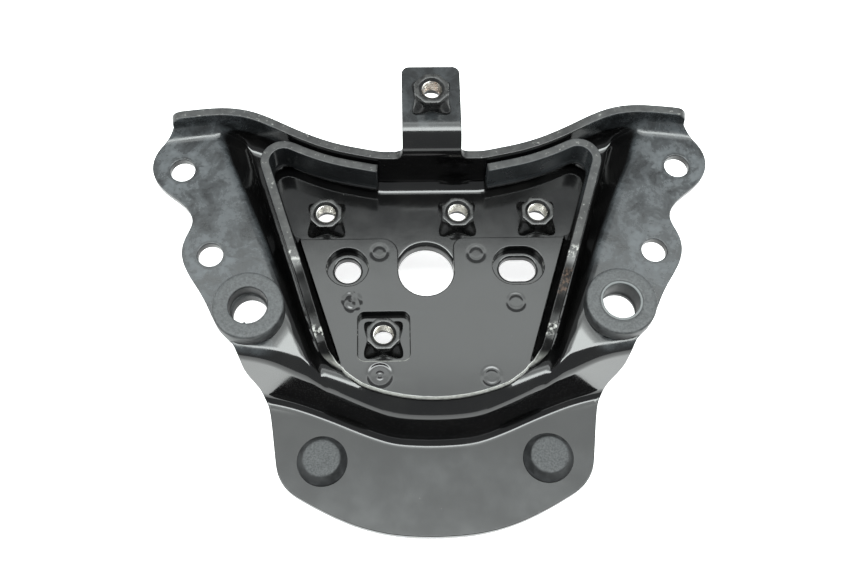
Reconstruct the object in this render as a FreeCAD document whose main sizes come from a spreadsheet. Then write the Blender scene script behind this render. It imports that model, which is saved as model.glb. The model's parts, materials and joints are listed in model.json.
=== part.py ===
import FreeCAD, Part
import math
import os

V = FreeCAD.Vector
doc = FreeCAD.newDocument("tail_light_bracket")

# ---------------------------------------------------------------- driving dimensions (mm, degrees)
sheet = doc.addObject("Spreadsheet::Sheet", "dims")
CELLS = [
    ("sheet_thick", 2.6), ("ear_level", 7.5), ("lower_level", -18.0), ("flange_top", 14.2),
    ("flange_radius", 4.0), ("brow_radius", 4.0), ("brow_extra", 3.2), ("brow_half", 42.0), ("foot_radius", 2.5), ("front_wall_angle", 83.0),
    ("slope_brow_radius", 3.4), ("slope_foot_radius", 1.5),
    ("flange_mid_y", 35.4), ("flange_flat_half", 13.0),
    ("upper_hole_x", 71.3), ("upper_hole_y", 35.0), ("lower_hole_x", 61.8), ("lower_hole_y", 8.05),
    ("ear_hole_dia", 7.0),
    ("grommet_x", 50.1), ("grommet_y", -9.1), ("grommet_seat_dia", 15.0),
    ("grommet_top_dia", 19.4), ("grommet_low_dia", 17.4), ("grommet_bore_dia", 10.4),
    ("grommet_top_rise", 4.8), ("grommet_low_drop", 1.7), ("grommet_round", 0.7),
    ("stopper_x", 31.7), ("stopper_y", -44.1), ("stopper_base_dia", 14.2), ("stopper_face_dia", 10.0),
    ("stopper_rise", 3.8), ("stopper_stem_dia", 6.0), ("stopper_barb_dia", 8.0), ("stopper_barb_rise", 2.4),
    ("cable_hole_x", -2.0), ("cable_hole_y", 6.0), ("cable_hole_dia", 16.0), ("cable_rim_round", 1.5),
    ("cable_collar_dia", 19.2), ("cable_collar_drop", 1.4), ("notch_y", 4.9), ("notch_dia", 15.6),
    ("flange_end_x", 74.4), ("flange_corner", 3.2),
    ("pilot_hole_x", -24.1), ("pilot_hole_y", 6.2), ("pilot_hole_dia", 7.4), ("pilot_clear_dia", 11.6),
    ("slot_x", 24.1), ("slot_y", 6.2), ("slot_reach", 3.1), ("slot_dia", 7.4),
    ("slot_clear_reach", 2.9), ("slot_clear_dia", 11.6),
    ("nut_a_x", -30.3), ("nut_b_x", 7.4), ("nut_c_x", 30.3), ("nut_row_y", 22.1),
    ("nut_d_x", -14.1), ("nut_d_y", -15.0), ("nut_clear_dia", 6.6),
    ("nut_half", 5.5), ("nut_base_rise", 2.3), ("nut_collar_dia", 9.0), ("nut_rise", 5.0),
    ("nut_bore_dia", 5.2), ("nut_scoop", 1.0),
    ("tab_width", 16.6), ("tab_level", 22.2), ("tab_end_y", 59.8), ("tab_brow_radius", 7.6),
    ("tab_corner", 2.2), ("tab_root_round", 2.4), ("tab_nut_y", 49.0),
    ("pan_rise", 12.0), ("pan_wall_x", 29.8), ("pan_wall_y", -20.5), ("pan_taper", 0.318),
    ("pan_gap", 0.5), ("pan_corner", 6.5), ("pan_bend_in", 1.9), ("pan_bend_out", 4.3),
    ("pan_front_y", -32.8), ("pan_rear_y", 15.0), ("pan_free_edge", 2.4),
    ("pan_back_left", -15.6), ("pan_back_right", 16.2),
    ("pan_fall_start_y", 6.0), ("pan_fall_end_y", -21.0), ("pan_fall_end", 3.6),
    ("window_x", -14.0), ("window_y", -14.7), ("window_half", 7.3), ("window_corner", 2.6),
    ("tray_split_band", 16.2), ("tray_split_right", 13.5), ("split_reach", 150.0),
    ("frame_shift_y", 9.1), ("frame_shift_z", -7.5),
]
for row, (name, value) in enumerate(CELLS, start=1):
    sheet.set("A%d" % row, name)
    sheet.set("B%d" % row, repr(float(value)))
    sheet.setAlias("B%d" % row, name)
doc.recompute()


def dim(name):
    return float(sheet.get(name))


T = dim("sheet_thick")

# ---------------------------------------------------------------- shape laws of the pressed sheet


def natural_spline(points):
    xs = [p[0] for p in points]
    ys = [p[1] for p in points]
    n = len(xs)
    low, mid, up, rhs = [0.0] * n, [1.0] * n, [0.0] * n, [0.0] * n
    for i in range(1, n - 1):
        h0, h1 = xs[i] - xs[i - 1], xs[i + 1] - xs[i]
        low[i], mid[i], up[i] = h0, 2 * (h0 + h1), h1
        rhs[i] = 6 * ((ys[i + 1] - ys[i]) / h1 - (ys[i] - ys[i - 1]) / h0)
    for i in range(1, n):
        w = low[i] / mid[i - 1]
        mid[i] -= w * up[i - 1]
        rhs[i] -= w * rhs[i - 1]
    m = [0.0] * n
    m[-1] = rhs[-1] / mid[-1]
    for i in range(n - 2, -1, -1):
        m[i] = (rhs[i] - up[i] * m[i + 1]) / mid[i]

    def f(x):
        i = 0
        while i < n - 2 and xs[i + 1] < x:
            i += 1
        h = xs[i + 1] - xs[i]
        a, b = (xs[i + 1] - x) / h, (x - xs[i]) / h
        return a * ys[i] + b * ys[i + 1] + ((a ** 3 - a) * m[i] + (b ** 3 - b) * m[i + 1]) * h * h / 6
    return f


def even(points):
    return [(-x, y) for x, y in reversed(points) if x > 0] + list(points)


# back flange, middle of its thickness in plan: flat behind the tab, then an arch, then level at the ears
arch = natural_spline(even([(0, 0), (5.4, 0.8), (12.8, 2.5), (20, 5.0), (28, 8.8), (34, 11.9),
                            (40, 14.2), (46, 15.05), (53, 14.7), (61, 13.7), (75, 11.8)]))
# foot of the front wall in plan
foot = natural_spline(even([(0, -40.8), (6, -40.6), (12.3, -39.8), (17.8, -38.1), (23.1, -36.0), (28, -33.9),
                            (34, -31.5), (40, -29.4), (47.3, -27.6), (60, -25.5), (88, -22.3)]))


def slope_of(f, x):
    return (f(x + 0.05) - f(x - 0.05)) / 0.1


def flange_mid(x):
    d = abs(x) - dim_flat
    return dim_mid_y + (arch(d) if d > 0 else 0.0)


dim_flat = dim("flange_flat_half")
dim_mid_y = dim("flange_mid_y")


def flange_face(x, inset=0.0):
    """plan y of the flange's front face, moved towards the front by inset along its normal"""
    c = math.cos(math.atan(slope_of(flange_mid, x)))
    return flange_mid(x) - (T / 2 + inset) / c


def ramp_length(th, height, r_top, r_foot):
    if (r_foot + r_top) * (1 - math.cos(th)) > height:
        th = math.acos(max(1 - height / (r_foot + r_top), 0.0))
        return (r_foot + r_top) * math.sin(th), th
    return (r_foot + r_top) * math.tan(th / 2) + height / math.tan(th), th


def ramp(q, th, height, r_top, r_foot):
    """height along a bend, wall and bend: concave radius at the foot, convex radius at the top"""
    if q <= 0:
        return 0.0
    length, th = ramp_length(th, height, r_top, r_foot)
    s = math.sin(th)
    if q >= length:
        return height
    if q <= r_foot * s:
        return r_foot - math.sqrt(max(r_foot ** 2 - q * q, 0.0))
    if q >= length - r_top * s:
        e = length - q
        return height - r_top + math.sqrt(max(r_top ** 2 - e * e, 0.0))
    return r_foot * (1 - math.cos(th)) + (q - r_foot * s) * math.tan(th)


EAR, LOW = dim("ear_level"), dim("lower_level")
TAPER, WALL_X, WALL_Y = dim("pan_taper"), dim("pan_wall_x"), dim("pan_wall_y")
TILT = math.sqrt(1 + TAPER ** 2)
SB, SF = dim("slope_brow_radius"), dim("slope_foot_radius")
FF = dim("foot_radius")
FA = math.radians(dim("front_wall_angle"))


def brow(x):
    """radius of the front wall's brow: fuller in the middle than at the ends"""
    return dim("brow_radius") + dim("brow_extra") * max(0.0, 1 - (x / dim("brow_half")) ** 2)


def wall_line(y, off):
    """|x| of the pan's side wall, off outwards from the middle of its thickness"""
    return WALL_X + TAPER * (y - WALL_Y) + off * TILT


def base_level(x, y):
    """floor, side slopes and ears, before the front wall is taken off"""
    ax = abs(x)
    q = (ax - wall_line(y, T / 2 + 0.5)) / TILT
    th = math.radians(min(max(50 + (32 - y) * 0.69, 46), 74))
    u = 0.868 * (dim_gx - ax) - 0.496 * (y - dim_gy) - 10.0
    drop = 0.0 if u < -3 else (0.42 * (u + 3) ** 2 / 12 if u < 3 else 0.42 * u)
    return ramp(q, th, max(EAR - drop, 0.3), SB, SF)


dim_gx, dim_gy = dim("grommet_x"), dim("grommet_y")


def column(x):
    """points of the sheet's upper face along one x, from above the flange to beyond the front edge"""
    c = math.cos(math.atan(slope_of(flange_mid, x)))
    yw = flange_face(x)
    r = dim("flange_radius")
    pts = []
    z0 = base_level(x, yw - 0.3)
    for k in range(5):
        z = (z0 + r) + (dim("flange_top") + 3.0 - z0 - r) * (1 - k / 5.0)
        pts.append(V(x, yw, z))
    for k in range(10):
        a = math.radians(90 - 10 * k)
        y = yw - r * (1 - math.sin(a)) / c
        pts.append(V(x, y, base_level(x, y) + r * (1 - math.cos(a))))
    y_back = yw - r / c
    # brow of the front wall
    ca = math.cos(math.atan(slope_of(foot, x)))
    yf = foot(x)
    fb = brow(x)
    h = EAR
    for _ in range(30):
        length, th = ramp_length(FA, h - LOW, fb, FF)
        h = base_level(x, yf + length / ca)
    y_brow = yf + length / ca
    n = 52
    for k in range(n):
        y = y_back + (y_brow - y_back) * (k + 0.5) / n
        pts.append(V(x, y, base_level(x, y)))
    samples = []
    for k in range(10):
        samples.append(length - fb * math.sin(th * k / 9.0))
    p0, p1 = length - fb * math.sin(th), FF * math.sin(th)
    for k in range(1, 7):
        samples.append(p0 + (p1 - p0) * k / 7.0)
    for k in range(8):
        samples.append(FF * math.sin(th * (7 - k) / 7.0))
    for p in samples:
        y = yf + p / ca
        pts.append(V(x, y, LOW + ramp(p, FA, base_level(x, y) - LOW, fb, FF)))
    y_end = -72.0
    for k in range(1, 15):
        pts.append(V(x, yf + (y_end - yf) * k / 14.0, LOW))
    return pts


def column_stations():
    xs = [0.0]
    while xs[-1] < 86.0:
        x = xs[-1]
        xs.append(x + (0.95 if 30.0 < x < 66.0 else 1.9))
    return [-x for x in reversed(xs[1:])] + xs


def spline_surface(grid):
    nu, nv = len(grid), len(grid[0])
    ku = list(range(nu - 2))
    kv = list(range(nv - 2))
    mu = [4] + [1] * (nu - 4) + [4]
    mv = [4] + [1] * (nv - 4) + [4]
    s = Part.BSplineSurface()
    s.buildFromPolesMultsKnots(grid, mu, mv, ku, kv, False, False, 3, 3)
    return s


def under_face(grid, thick):
    nu, nv = len(grid), len(grid[0])
    out = []
    for i in range(nu):
        row = []
        for j in range(nv):
            du = grid[min(i + 1, nu - 1)][j] - grid[max(i - 1, 0)][j]
            dv = grid[i][min(j + 1, nv - 1)] - grid[i][max(j - 1, 0)]
            n = dv.cross(du)
            n.normalize()
            row.append(grid[i][j] - n * thick)
        out.append(row)
    return out


grid_top = [column(x) for x in column_stations()]
grid_low = under_face(grid_top, T)
top = spline_surface(grid_top)
low = spline_surface(grid_low)
faces = [top.toShape(), low.toShape()]
u0, u1, v0, v1 = top.bounds()
for a, b in ((top.uIso(u0), low.uIso(u0)), (top.uIso(u1), low.uIso(u1)),
             (top.vIso(v0), low.vIso(v0)), (top.vIso(v1), low.vIso(v1))):
    faces.append(Part.makeRuledSurface(a.toShape(), b.toShape()))
skin = Part.Shell(faces)
skin.sewShape()
blank_solid = Part.Solid(skin)
if blank_solid.Volume < 0:
    blank_solid.reverse()
blank = doc.addObject("Part::Feature", "formed_blank")
blank.Shape = blank_solid

# ---------------------------------------------------------------- trimmed outline of the sheet
half = [(-74.4, 47.4), (-75.9, 45.6), (-78.7, 41.6), (-80.0, 36.2), (-78.4, 31.4), (-74.0, 26.9), (-69.3, 22.7),
        (-67.5, 18.6), (-68.9, 13.9), (-69.8, 9.2), (-68.9, 5.2), (-66.1, 0.2), (-62.9, -5.0), (-60.9, -9.1),
        (-58.8, -13.0), (-56.2, -16.2), (-54.4, -18.3), (-53.2, -20.5), (-52.6, -22.0), (-51.7, -23.2),
        (-50.4, -24.2), (-48.8, -25.4), (-47.4, -27.6), (-46.5, -31.5), (-45.7, -37.0), (-44.9, -43.0),
        (-43.9, -47.8), (-41.3, -51.8), (-36.8, -55.0), (-32.1, -57.6), (-22.2, -62.1), (-12.0, -64.7), (0.0, -65.5)]
edge_points = half + [(-x, y) for x, y in reversed(half[:-1])]
rim = Part.BSplineCurve()
rim.interpolate([V(x, y, 0) for x, y in edge_points])
outline = doc.addObject("Sketcher::SketchObject", "outline")
outline.addGeometry(rim, False)
(xa, ya), (xb, yb) = edge_points[0], edge_points[-1]
outline.addGeometry(Part.LineSegment(V(xa, ya, 0), V(xa, 62, 0)), False)
outline.addGeometry(Part.LineSegment(V(xa, 62, 0), V(xb, 62, 0)), False)
outline.addGeometry(Part.LineSegment(V(xb, 62, 0), V(xb, yb, 0)), False)
trim = doc.addObject("Part::Extrusion", "trim_block")
trim.Base = outline
trim.DirMode = "Custom"
trim.Dir = V(0, 0, 1)
trim.Solid = True
trim.setExpression("LengthFwd", "dims.flange_top")
trim.LengthRev = 40.0
doc.recompute()

pressed = doc.addObject("Part::Common", "pressed_sheet")
pressed.Base = blank
pressed.Tool = trim
doc.recompute()

# ---------------------------------------------------------------- holes through the sheet
cutters = []


def drill(name, x, y, dia, z="-30"):
    c = doc.addObject("Part::Cylinder", name)
    c.Height = 60
    c.setExpression("Radius", "%s / 2" % dia)
    c.setExpression("Placement.Base.x", x)
    c.setExpression("Placement.Base.y", y)
    c.setExpression("Placement.Base.z", z)
    cutters.append(c)
    return c


for side, sign in (("left", "-"), ("right", "")):
    drill(side + "_upper_hole", sign + "dims.upper_hole_x", "dims.upper_hole_y", "dims.ear_hole_dia")
    drill(side + "_lower_hole", sign + "dims.lower_hole_x", "dims.lower_hole_y", "dims.ear_hole_dia")
    drill(side + "_grommet_hole", sign + "dims.grommet_x", "dims.grommet_y", "dims.grommet_seat_dia")
    drill(side + "_stopper_hole", sign + "dims.stopper_x", "dims.stopper_y", "dims.stopper_stem_dia")
drill("pilot_hole", "dims.pilot_hole_x", "dims.pilot_hole_y", "dims.pilot_hole_dia")
drill("slot_left_end", "dims.slot_x - dims.slot_reach / 2", "dims.slot_y", "dims.slot_dia")
drill("slot_right_end", "dims.slot_x + dims.slot_reach / 2", "dims.slot_y", "dims.slot_dia")
for tag in ("a", "b", "c"):
    drill("nut_%s_hole" % tag, "dims.nut_%s_x" % tag, "dims.nut_row_y", "dims.nut_clear_dia")
drill("nut_d_hole", "dims.nut_d_x", "dims.nut_d_y", "dims.nut_clear_dia")
bridge = doc.addObject("Part::Box", "slot_middle")
bridge.Height = 60
bridge.setExpression("Length", "dims.slot_reach")
bridge.setExpression("Width", "dims.slot_dia")
bridge.setExpression("Placement.Base.x", "dims.slot_x - dims.slot_reach / 2")
bridge.setExpression("Placement.Base.y", "dims.slot_y - dims.slot_dia / 2")
bridge.Placement.Base.z = -30
bridge.setExpression("Placement.Base.z", "-30")
cutters.append(bridge)
# ends of the front wall, square to it
end_line = [(60.0, 6.2), (53.4, 6.2), (52.95, 5.0), (52.8, 3.0), (52.65, 0.5), (52.4, -2.0), (52.0, -4.1), (51.45, -6.4),
            (50.75, -8.6), (50.0, -11.0), (49.4, -13.3), (49.0, -15.8), (48.8, -17.0), (60.0, -17.0)]
for tag, sgn in (("left", -1), ("right", 1)):
    sk = doc.addObject("Sketcher::SketchObject", tag + "_wall_end")
    sk.Placement = FreeCAD.Placement(V(0, -19.0, 0), FreeCAD.Rotation(V(1, 0, 0), 90))
    pts = [V(sgn * x, z, 0) for x, z in end_line]
    bow = Part.BSplineCurve()
    bow.interpolate(pts[1:-1])
    sk.addGeometry(bow, False)
    sk.addGeometry(Part.LineSegment(pts[-2], pts[-1]), False)
    sk.addGeometry(Part.LineSegment(pts[-1], pts[0]), False)
    sk.addGeometry(Part.LineSegment(pts[0], pts[1]), False)
    e = doc.addObject("Part::Extrusion", tag + "_wall_end_cut")
    e.Base = sk
    e.DirMode = "Custom"
    e.Dir = V(0, -1, 0)
    e.Solid = True
    e.LengthFwd = 9.0
    cutters.append(e)
# rounded upper corners at the ends of the flange
for tag, sgn in (("left", -1), ("right", 1)):
    blk = doc.addObject("Part::Box", tag + "_corner_block")
    blk.Length, blk.Width, blk.Height = 8, 16, 8
    blk.setExpression("Placement.Base.x", "%s(dims.flange_end_x - dims.flange_corner)%s" % ("-" if sgn < 0 else "",
                                                                                     " - 8" if sgn < 0 else ""))
    blk.Placement.Base.y = 42
    blk.setExpression("Placement.Base.z", "dims.flange_top - dims.flange_corner")
    rnd = doc.addObject("Part::Cylinder", tag + "_corner_round")
    rnd.setExpression("Radius", "dims.flange_corner")
    rnd.Height = 20
    rnd.Placement = FreeCAD.Placement(V(0, 60, 0), FreeCAD.Rotation(V(1, 0, 0), 90))
    rnd.setExpression("Placement.Base.x", "%s(dims.flange_end_x - dims.flange_corner)" % ("-" if sgn < 0 else ""))
    rnd.setExpression("Placement.Base.z", "dims.flange_top - dims.flange_corner")
    crn = doc.addObject("Part::Cut", tag + "_corner_cut")
    crn.Base = blk
    crn.Tool = rnd
    cutters.append(crn)
doc.recompute()


def turned(name, points, x, y):
    """solid turned about a vertical axis from a closed profile of (radius, height)"""
    sk = doc.addObject("Sketcher::SketchObject", name + "_profile")
    sk.Placement = FreeCAD.Placement(V(x, y, 0), FreeCAD.Rotation(V(1, 0, 0), 90))
    n = len(points)
    for i in range(n):
        a, b = points[i], points[(i + 1) % n]
        if len(b) == 3:
            continue
        if len(a) == 3:
            p = points[i - 1]
            sk.addGeometry(Part.Arc(V(p[0], p[1], 0), V(a[0], a[1], 0), V(b[0], b[1], 0)), False)
        else:
            sk.addGeometry(Part.LineSegment(V(a[0], a[1], 0), V(b[0], b[1], 0)), False)
    rev = doc.addObject("Part::Revolution", name)
    rev.Source = sk
    rev.Axis = V(0, 0, 1)
    rev.Base = V(x, y, 0)
    rev.Angle = 360
    rev.Solid = True
    return rev


# cable hole: its rim is rounded and drawn down into a short collar
hx, hy, hr_ = dim("cable_hole_x"), dim("cable_hole_y"), dim("cable_hole_dia") / 2
cd, co, rr0 = T + dim("cable_collar_drop"), dim("cable_collar_dia") / 2, dim("cable_rim_round")
h45 = rr0 * (1 - math.sqrt(0.5))
cable_collar = turned("cable_collar", [(hr_ - 0.5, -1.0), (co, -1.0), (co, -cd + 0.4), (co - 0.4, -cd), (hr_ - 0.5, -cd)], hx, hy)
cable_cut = turned("cable_cut", [(0.0, -20.0), (hr_, -20.0), (hr_, -rr0), (hr_ + h45, -h45, "arc"), (hr_ + rr0, 0.0),
                                 (hr_ + rr0, 4.0), (0.0, 4.0)], hx, hy)
cutters.append(cable_cut)
drawn = doc.addObject("Part::Fuse", "drawn_sheet")
drawn.Base = pressed
drawn.Tool = cable_collar
doc.recompute()
tools = doc.addObject("Part::MultiFuse", "hole_tools")
tools.Shapes = cutters
pierced = doc.addObject("Part::Cut", "pierced_sheet")
pierced.Base = drawn
pierced.Tool = tools
doc.recompute()

# ---------------------------------------------------------------- sketch helpers


def plane_of(body, role):
    for f in body.Origin.OriginFeatures:
        if f.Role == role:
            return f
    raise ValueError(role)


def sketch_on(body, role, name):
    sk = body.newObject("Sketcher::SketchObject", name)
    sk.AttachmentSupport = [(plane_of(body, role), "")]
    sk.MapMode = "FlatFace"
    return sk


def line(sk, a, b):
    return sk.addGeometry(Part.LineSegment(V(a[0], a[1], 0), V(b[0], b[1], 0)), False)


def arc(sk, a, m, b):
    return sk.addGeometry(Part.Arc(V(a[0], a[1], 0), V(m[0], m[1], 0), V(b[0], b[1], 0)), False)


def arc_about(sk, c, r, a0, a1):
    """counter-clockwise arc, degrees"""
    circ = Part.Circle(V(c[0], c[1], 0), V(0, 0, 1), r)
    return sk.addGeometry(Part.ArcOfCircle(circ, math.radians(a0), math.radians(a1)), False)


def polygon(sk, pts):
    for i in range(len(pts)):
        line(sk, pts[i], pts[(i + 1) % len(pts)])


def symmetric(feature):
    if "SideType" in feature.PropertiesList:
        feature.SideType = "Symmetric"
    else:
        feature.Midplane = True


# ---------------------------------------------------------------- tab standing on the middle of the flange
tab = doc.addObject("PartDesign::Body", "tab")
sk = sketch_on(tab, "YZ_Plane", "tab_profile")
yf0 = dim_mid_y - T / 2
zt, zb, re_, ye = dim("tab_level"), dim("flange_top"), dim("tab_brow_radius"), dim("tab_end_y")
ri = re_ - T
s45 = math.sqrt(0.5)
line(sk, (yf0, zb), (yf0, zt - re_))
arc(sk, (yf0, zt - re_), (yf0 + re_ - re_ * s45, zt - re_ + re_ * s45), (yf0 + re_, zt))
line(sk, (yf0 + re_, zt), (ye, zt))
line(sk, (ye, zt), (ye, zt - T))
line(sk, (ye, zt - T), (yf0 + re_, zt - T))
arc(sk, (yf0 + re_, zt - T), (yf0 + re_ - ri * s45, zt - re_ + ri * s45), (yf0 + T, zt - re_))
line(sk, (yf0 + T, zt - re_), (yf0 + T, zb))
line(sk, (yf0 + T, zb), (yf0, zb))
pad = tab.newObject("PartDesign::Pad", "tab_pad")
pad.Profile = sk
pad.setExpression("Length", "dims.tab_width")
symmetric(pad)
tab.Tip = pad
doc.recompute()
sk = sketch_on(tab, "XZ_Plane", "tab_roots")
w, rr = dim("tab_width") / 2, dim("tab_root_round")
for sgn in (-1, 1):
    line(sk, (sgn * w, zb), (sgn * (w + rr), zb))
    arc(sk, (sgn * (w + rr), zb), (sgn * (w + rr - rr * s45), zb + rr - rr * s45), (sgn * w, zb + rr))
    line(sk, (sgn * w, zb + rr), (sgn * w, zb))
roots = tab.newObject("PartDesign::Pad", "tab_root_pad")
roots.Profile = sk
roots.Length = dim_mid_y + T / 2
if "SideType" in roots.PropertiesList:
    roots.SideType = "One side"
tab.Tip = roots
doc.recompute()
if roots.Shape.BoundBox.YMin < 0:
    roots.Reversed = True
    doc.recompute()
sk = sketch_on(tab, "XZ_Plane", "tab_root_front")
polygon(sk, [(-w - rr - 1, zb), (w + rr + 1, zb), (w + rr + 1, zb + rr + 1), (-w - rr - 1, zb + rr + 1)])
clear = tab.newObject("PartDesign::Pocket", "tab_root_clear")
clear.Profile = sk
clear.Length = yf0
tab.Tip = clear
doc.recompute()
if clear.Shape.BoundBox.YMin < yf0 - 0.01:
    clear.Reversed = True
    doc.recompute()
corner_edges = []
for i, e in enumerate(clear.Shape.Edges, start=1):
    b = e.BoundBox
    if abs(b.YMin - ye) < 1e-4 and abs(b.YMax - ye) < 1e-4 and b.XLength < 1e-4 and b.ZLength > 1:
        corner_edges.append("Edge%d" % i)
rounds = tab.newObject("PartDesign::Fillet", "tab_corners")
rounds.Base = (clear, corner_edges)
rounds.setExpression("Radius", "dims.tab_corner")
tab.Tip = rounds
doc.recompute()
sk = sketch_on(tab, "XY_Plane", "tab_hole_sketch")
sk.addGeometry(Part.Circle(V(0, dim("tab_nut_y"), 0), V(0, 0, 1), dim("nut_clear_dia") / 2), False)
hole = tab.newObject("PartDesign::Pocket", "tab_hole")
hole.Profile = sk
hole.Length = 120
symmetric(hole)
tab.Tip = hole
doc.recompute()

shell = doc.addObject("Part::Fuse", "whole_sheet")
shell.Base = pierced
shell.Tool = tab
doc.recompute()

# the one pressed sheet is told apart along its bends: floor, two ears, front lip and rear flange


def brow_line(x):
    ca = math.cos(math.atan(slope_of(foot, x)))
    yf = foot(x)
    fb = brow(x)
    h = EAR
    for _ in range(30):
        length, th = ramp_length(FA, h - LOW, fb, FF)
        h = base_level(x, yf + length / ca)
    return yf + length / ca


def region(name, curve, far):
    """block on one side of a line in plan"""
    sk = doc.addObject("Sketcher::SketchObject", name + "_line")
    spline = Part.BSplineCurve()
    spline.interpolate([V(p[0], p[1], 0) for p in curve])
    sk.addGeometry(spline, False)
    ring = [curve[-1]] + far + [curve[0]]
    for a, b in zip(ring, ring[1:]):
        sk.addGeometry(Part.LineSegment(V(a[0], a[1], 0), V(b[0], b[1], 0)), False)
    e = doc.addObject("Part::Extrusion", name)
    e.Base = sk
    e.DirMode = "Custom"
    e.Dir = V(0, 0, 1)
    e.Solid = True
    e.LengthFwd = 40
    e.LengthRev = 40
    return e


def pair(kind, name, base, tool):
    o = doc.addObject("Part::" + kind, name)
    o.Base = base
    o.Tool = tool
    return o


xs_line = [-84.0 + 4.0 * k for k in range(43)]
rear_side = region("rear_side", [(x, flange_face(x, dim("flange_radius"))) for x in xs_line], [(84, 70), (-84, 70)])
front_side = region("front_side", [(x, brow_line(x)) for x in xs_line], [(84, -80), (-84, -80)])


def slope_foot_x(y):
    return wall_line(y, T / 2 + 0.5)


right_side = region("right_side", [(slope_foot_x(y), y) for y in (-60.0, -20.0, 20.0, 60.0)], [(95, 60), (95, -60)])
left_side = region("left_side", [(-slope_foot_x(y), y) for y in (-60.0, -20.0, 20.0, 60.0)], [(-95, 60), (-95, -60)])
doc.recompute()
rear_flange = pair("Common", "rear_flange", shell, rear_side)
front_lip = pair("Common", "front_lip", shell, front_side)
no_rear = pair("Cut", "sheet_without_rear", shell, rear_side)
middle = pair("Cut", "sheet_middle", no_rear, front_side)
left_ear = pair("Common", "left_ear", middle, left_side)
right_ear = pair("Common", "right_ear", middle, right_side)
no_left = pair("Cut", "middle_without_left", middle, left_side)
tray_floor = pair("Cut", "tray_floor", no_left, right_side)
doc.recompute()


def block(name, x, y):
    """square block with its lower left corner at x, y"""
    o = doc.addObject("Part::Box", name)
    for side in ("Length", "Width"):
        o.setExpression(side, "dims.split_reach")
    o.Height = 80
    o.setExpression("Placement.Base.x", x)
    o.setExpression("Placement.Base.y", y)
    o.setExpression("Placement.Base.z", "-40")
    return o


# the floor is told apart again between its holes, so that each stretch is a plain plate
nut_row_block = block("nut_row_block", "-dims.split_reach / 2", "dims.nut_row_y")
band_block = block("band_block", "-dims.split_reach / 2", "dims.tray_split_band")
left_block = block("left_block", "dims.nut_d_x - dims.split_reach", "-dims.split_reach / 2")
right_block = block("right_block", "dims.tray_split_right", "-dims.split_reach / 2")
doc.recompute()
tray_back = pair("Common", "tray_back", tray_floor, nut_row_block)
tray_rear_left = pair("Common", "tray_rear_left", tray_back, left_block)
tray_back_rest = pair("Cut", "tray_back_rest", tray_back, left_block)
tray_rear_right = pair("Common", "tray_rear_right", tray_back_rest, right_block)
tray_rear_middle = pair("Cut", "tray_rear_middle", tray_back_rest, right_block)
tray_ahead = pair("Cut", "tray_ahead", tray_floor, nut_row_block)
tray_band = pair("Common", "tray_band", tray_ahead, band_block)
tray_front = pair("Cut", "tray_front", tray_ahead, band_block)
tray_left = pair("Common", "tray_left", tray_front, left_block)
tray_not_left = pair("Cut", "tray_not_left", tray_front, left_block)
tray_right = pair("Common", "tray_right", tray_not_left, right_block)
tray_middle = pair("Cut", "tray_middle", tray_not_left, right_block)
sheet_parts = [tray_rear_left, tray_rear_middle, tray_rear_right, tray_band, tray_left, tray_middle, tray_right, left_ear,
               right_ear, front_lip, rear_flange]
doc.recompute()
for o in sheet_parts:
    o.Label = o.Name
    o.setExpression("Placement.Base.y", "dims.frame_shift_y")
    o.setExpression("Placement.Base.z", "dims.frame_shift_z")
doc.recompute()

# ---------------------------------------------------------------- inner pan


def corner_circle(off, r):
    """centre and touching points of the pan's rear right corner, off inwards from the outer face"""
    lo, hi = 10.0, 60.0
    for _ in range(60):
        y = (lo + hi) / 2
        x = wall_line(y, T / 2 - off - r)
        gap = flange_face(x, dim("pan_gap") + off + r) - y
        if gap > 0:
            lo = y
        else:
            hi = y
    c = (wall_line(y, T / 2 - off - r), y)
    a = math.atan2(-TAPER, 1.0)
    p_side = (c[0] + r * math.cos(a), c[1] + r * math.sin(a))
    b = math.atan(slope_of(flange_mid, c[0])) + math.pi / 2
    p_back = (c[0] + r * math.cos(b), c[1] + r * math.sin(b))
    return c, a, b, p_side, p_back


def back_curve(x0, y0, off):
    pts = [V(-x0, y0, 0)]
    n = 24
    for k in range(1, n):
        x = -x0 + 2 * x0 * k / n
        pts.append(V(x, flange_face(x, dim("pan_gap") + off), 0))
    pts.append(V(x0, y0, 0))
    cur = Part.BSplineCurve()
    cur.interpolate(pts)
    return cur


def rear_of_pan(sk, off, y_stop):
    """side walls from y_stop up, corners and back; returns the two ends"""
    r = dim("pan_corner") - off
    c, a, b, ps, pb = corner_circle(off, r)
    sk.addGeometry(back_curve(pb[0], pb[1], off), False)
    m = (a + b) / 2
    mid = (c[0] + r * math.cos(m), c[1] + r * math.sin(m))
    arc(sk, ps, mid, pb)
    arc(sk, (-pb[0], pb[1]), (-mid[0], mid[1]), (-ps[0], ps[1]))
    xs = wall_line(y_stop, T / 2 - off)
    line(sk, ps, (xs, y_stop))
    line(sk, (-ps[0], ps[1]), (-xs, y_stop))
    return (xs, y_stop)


pan = doc.addObject("PartDesign::Body", "inner_pan")
sk = sketch_on(pan, "XY_Plane", "pan_outline")
xr, yr = rear_of_pan(sk, 0.0, -20.6)
q1 = (24.2, -26.6)
arc(sk, (xr, yr), (28.9, -23.6), q1)
arc(sk, q1, (0.0, dim("pan_front_y")), (-q1[0], q1[1]))
arc(sk, (-q1[0], q1[1]), (-28.9, -23.6), (-xr, yr))
pan_pad = pan.newObject("PartDesign::Pad", "pan_pad")
pan_pad.Profile = sk
pan_pad.setExpression("Length", "dims.pan_rise")
pan.Tip = pan_pad
doc.recompute()

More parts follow.
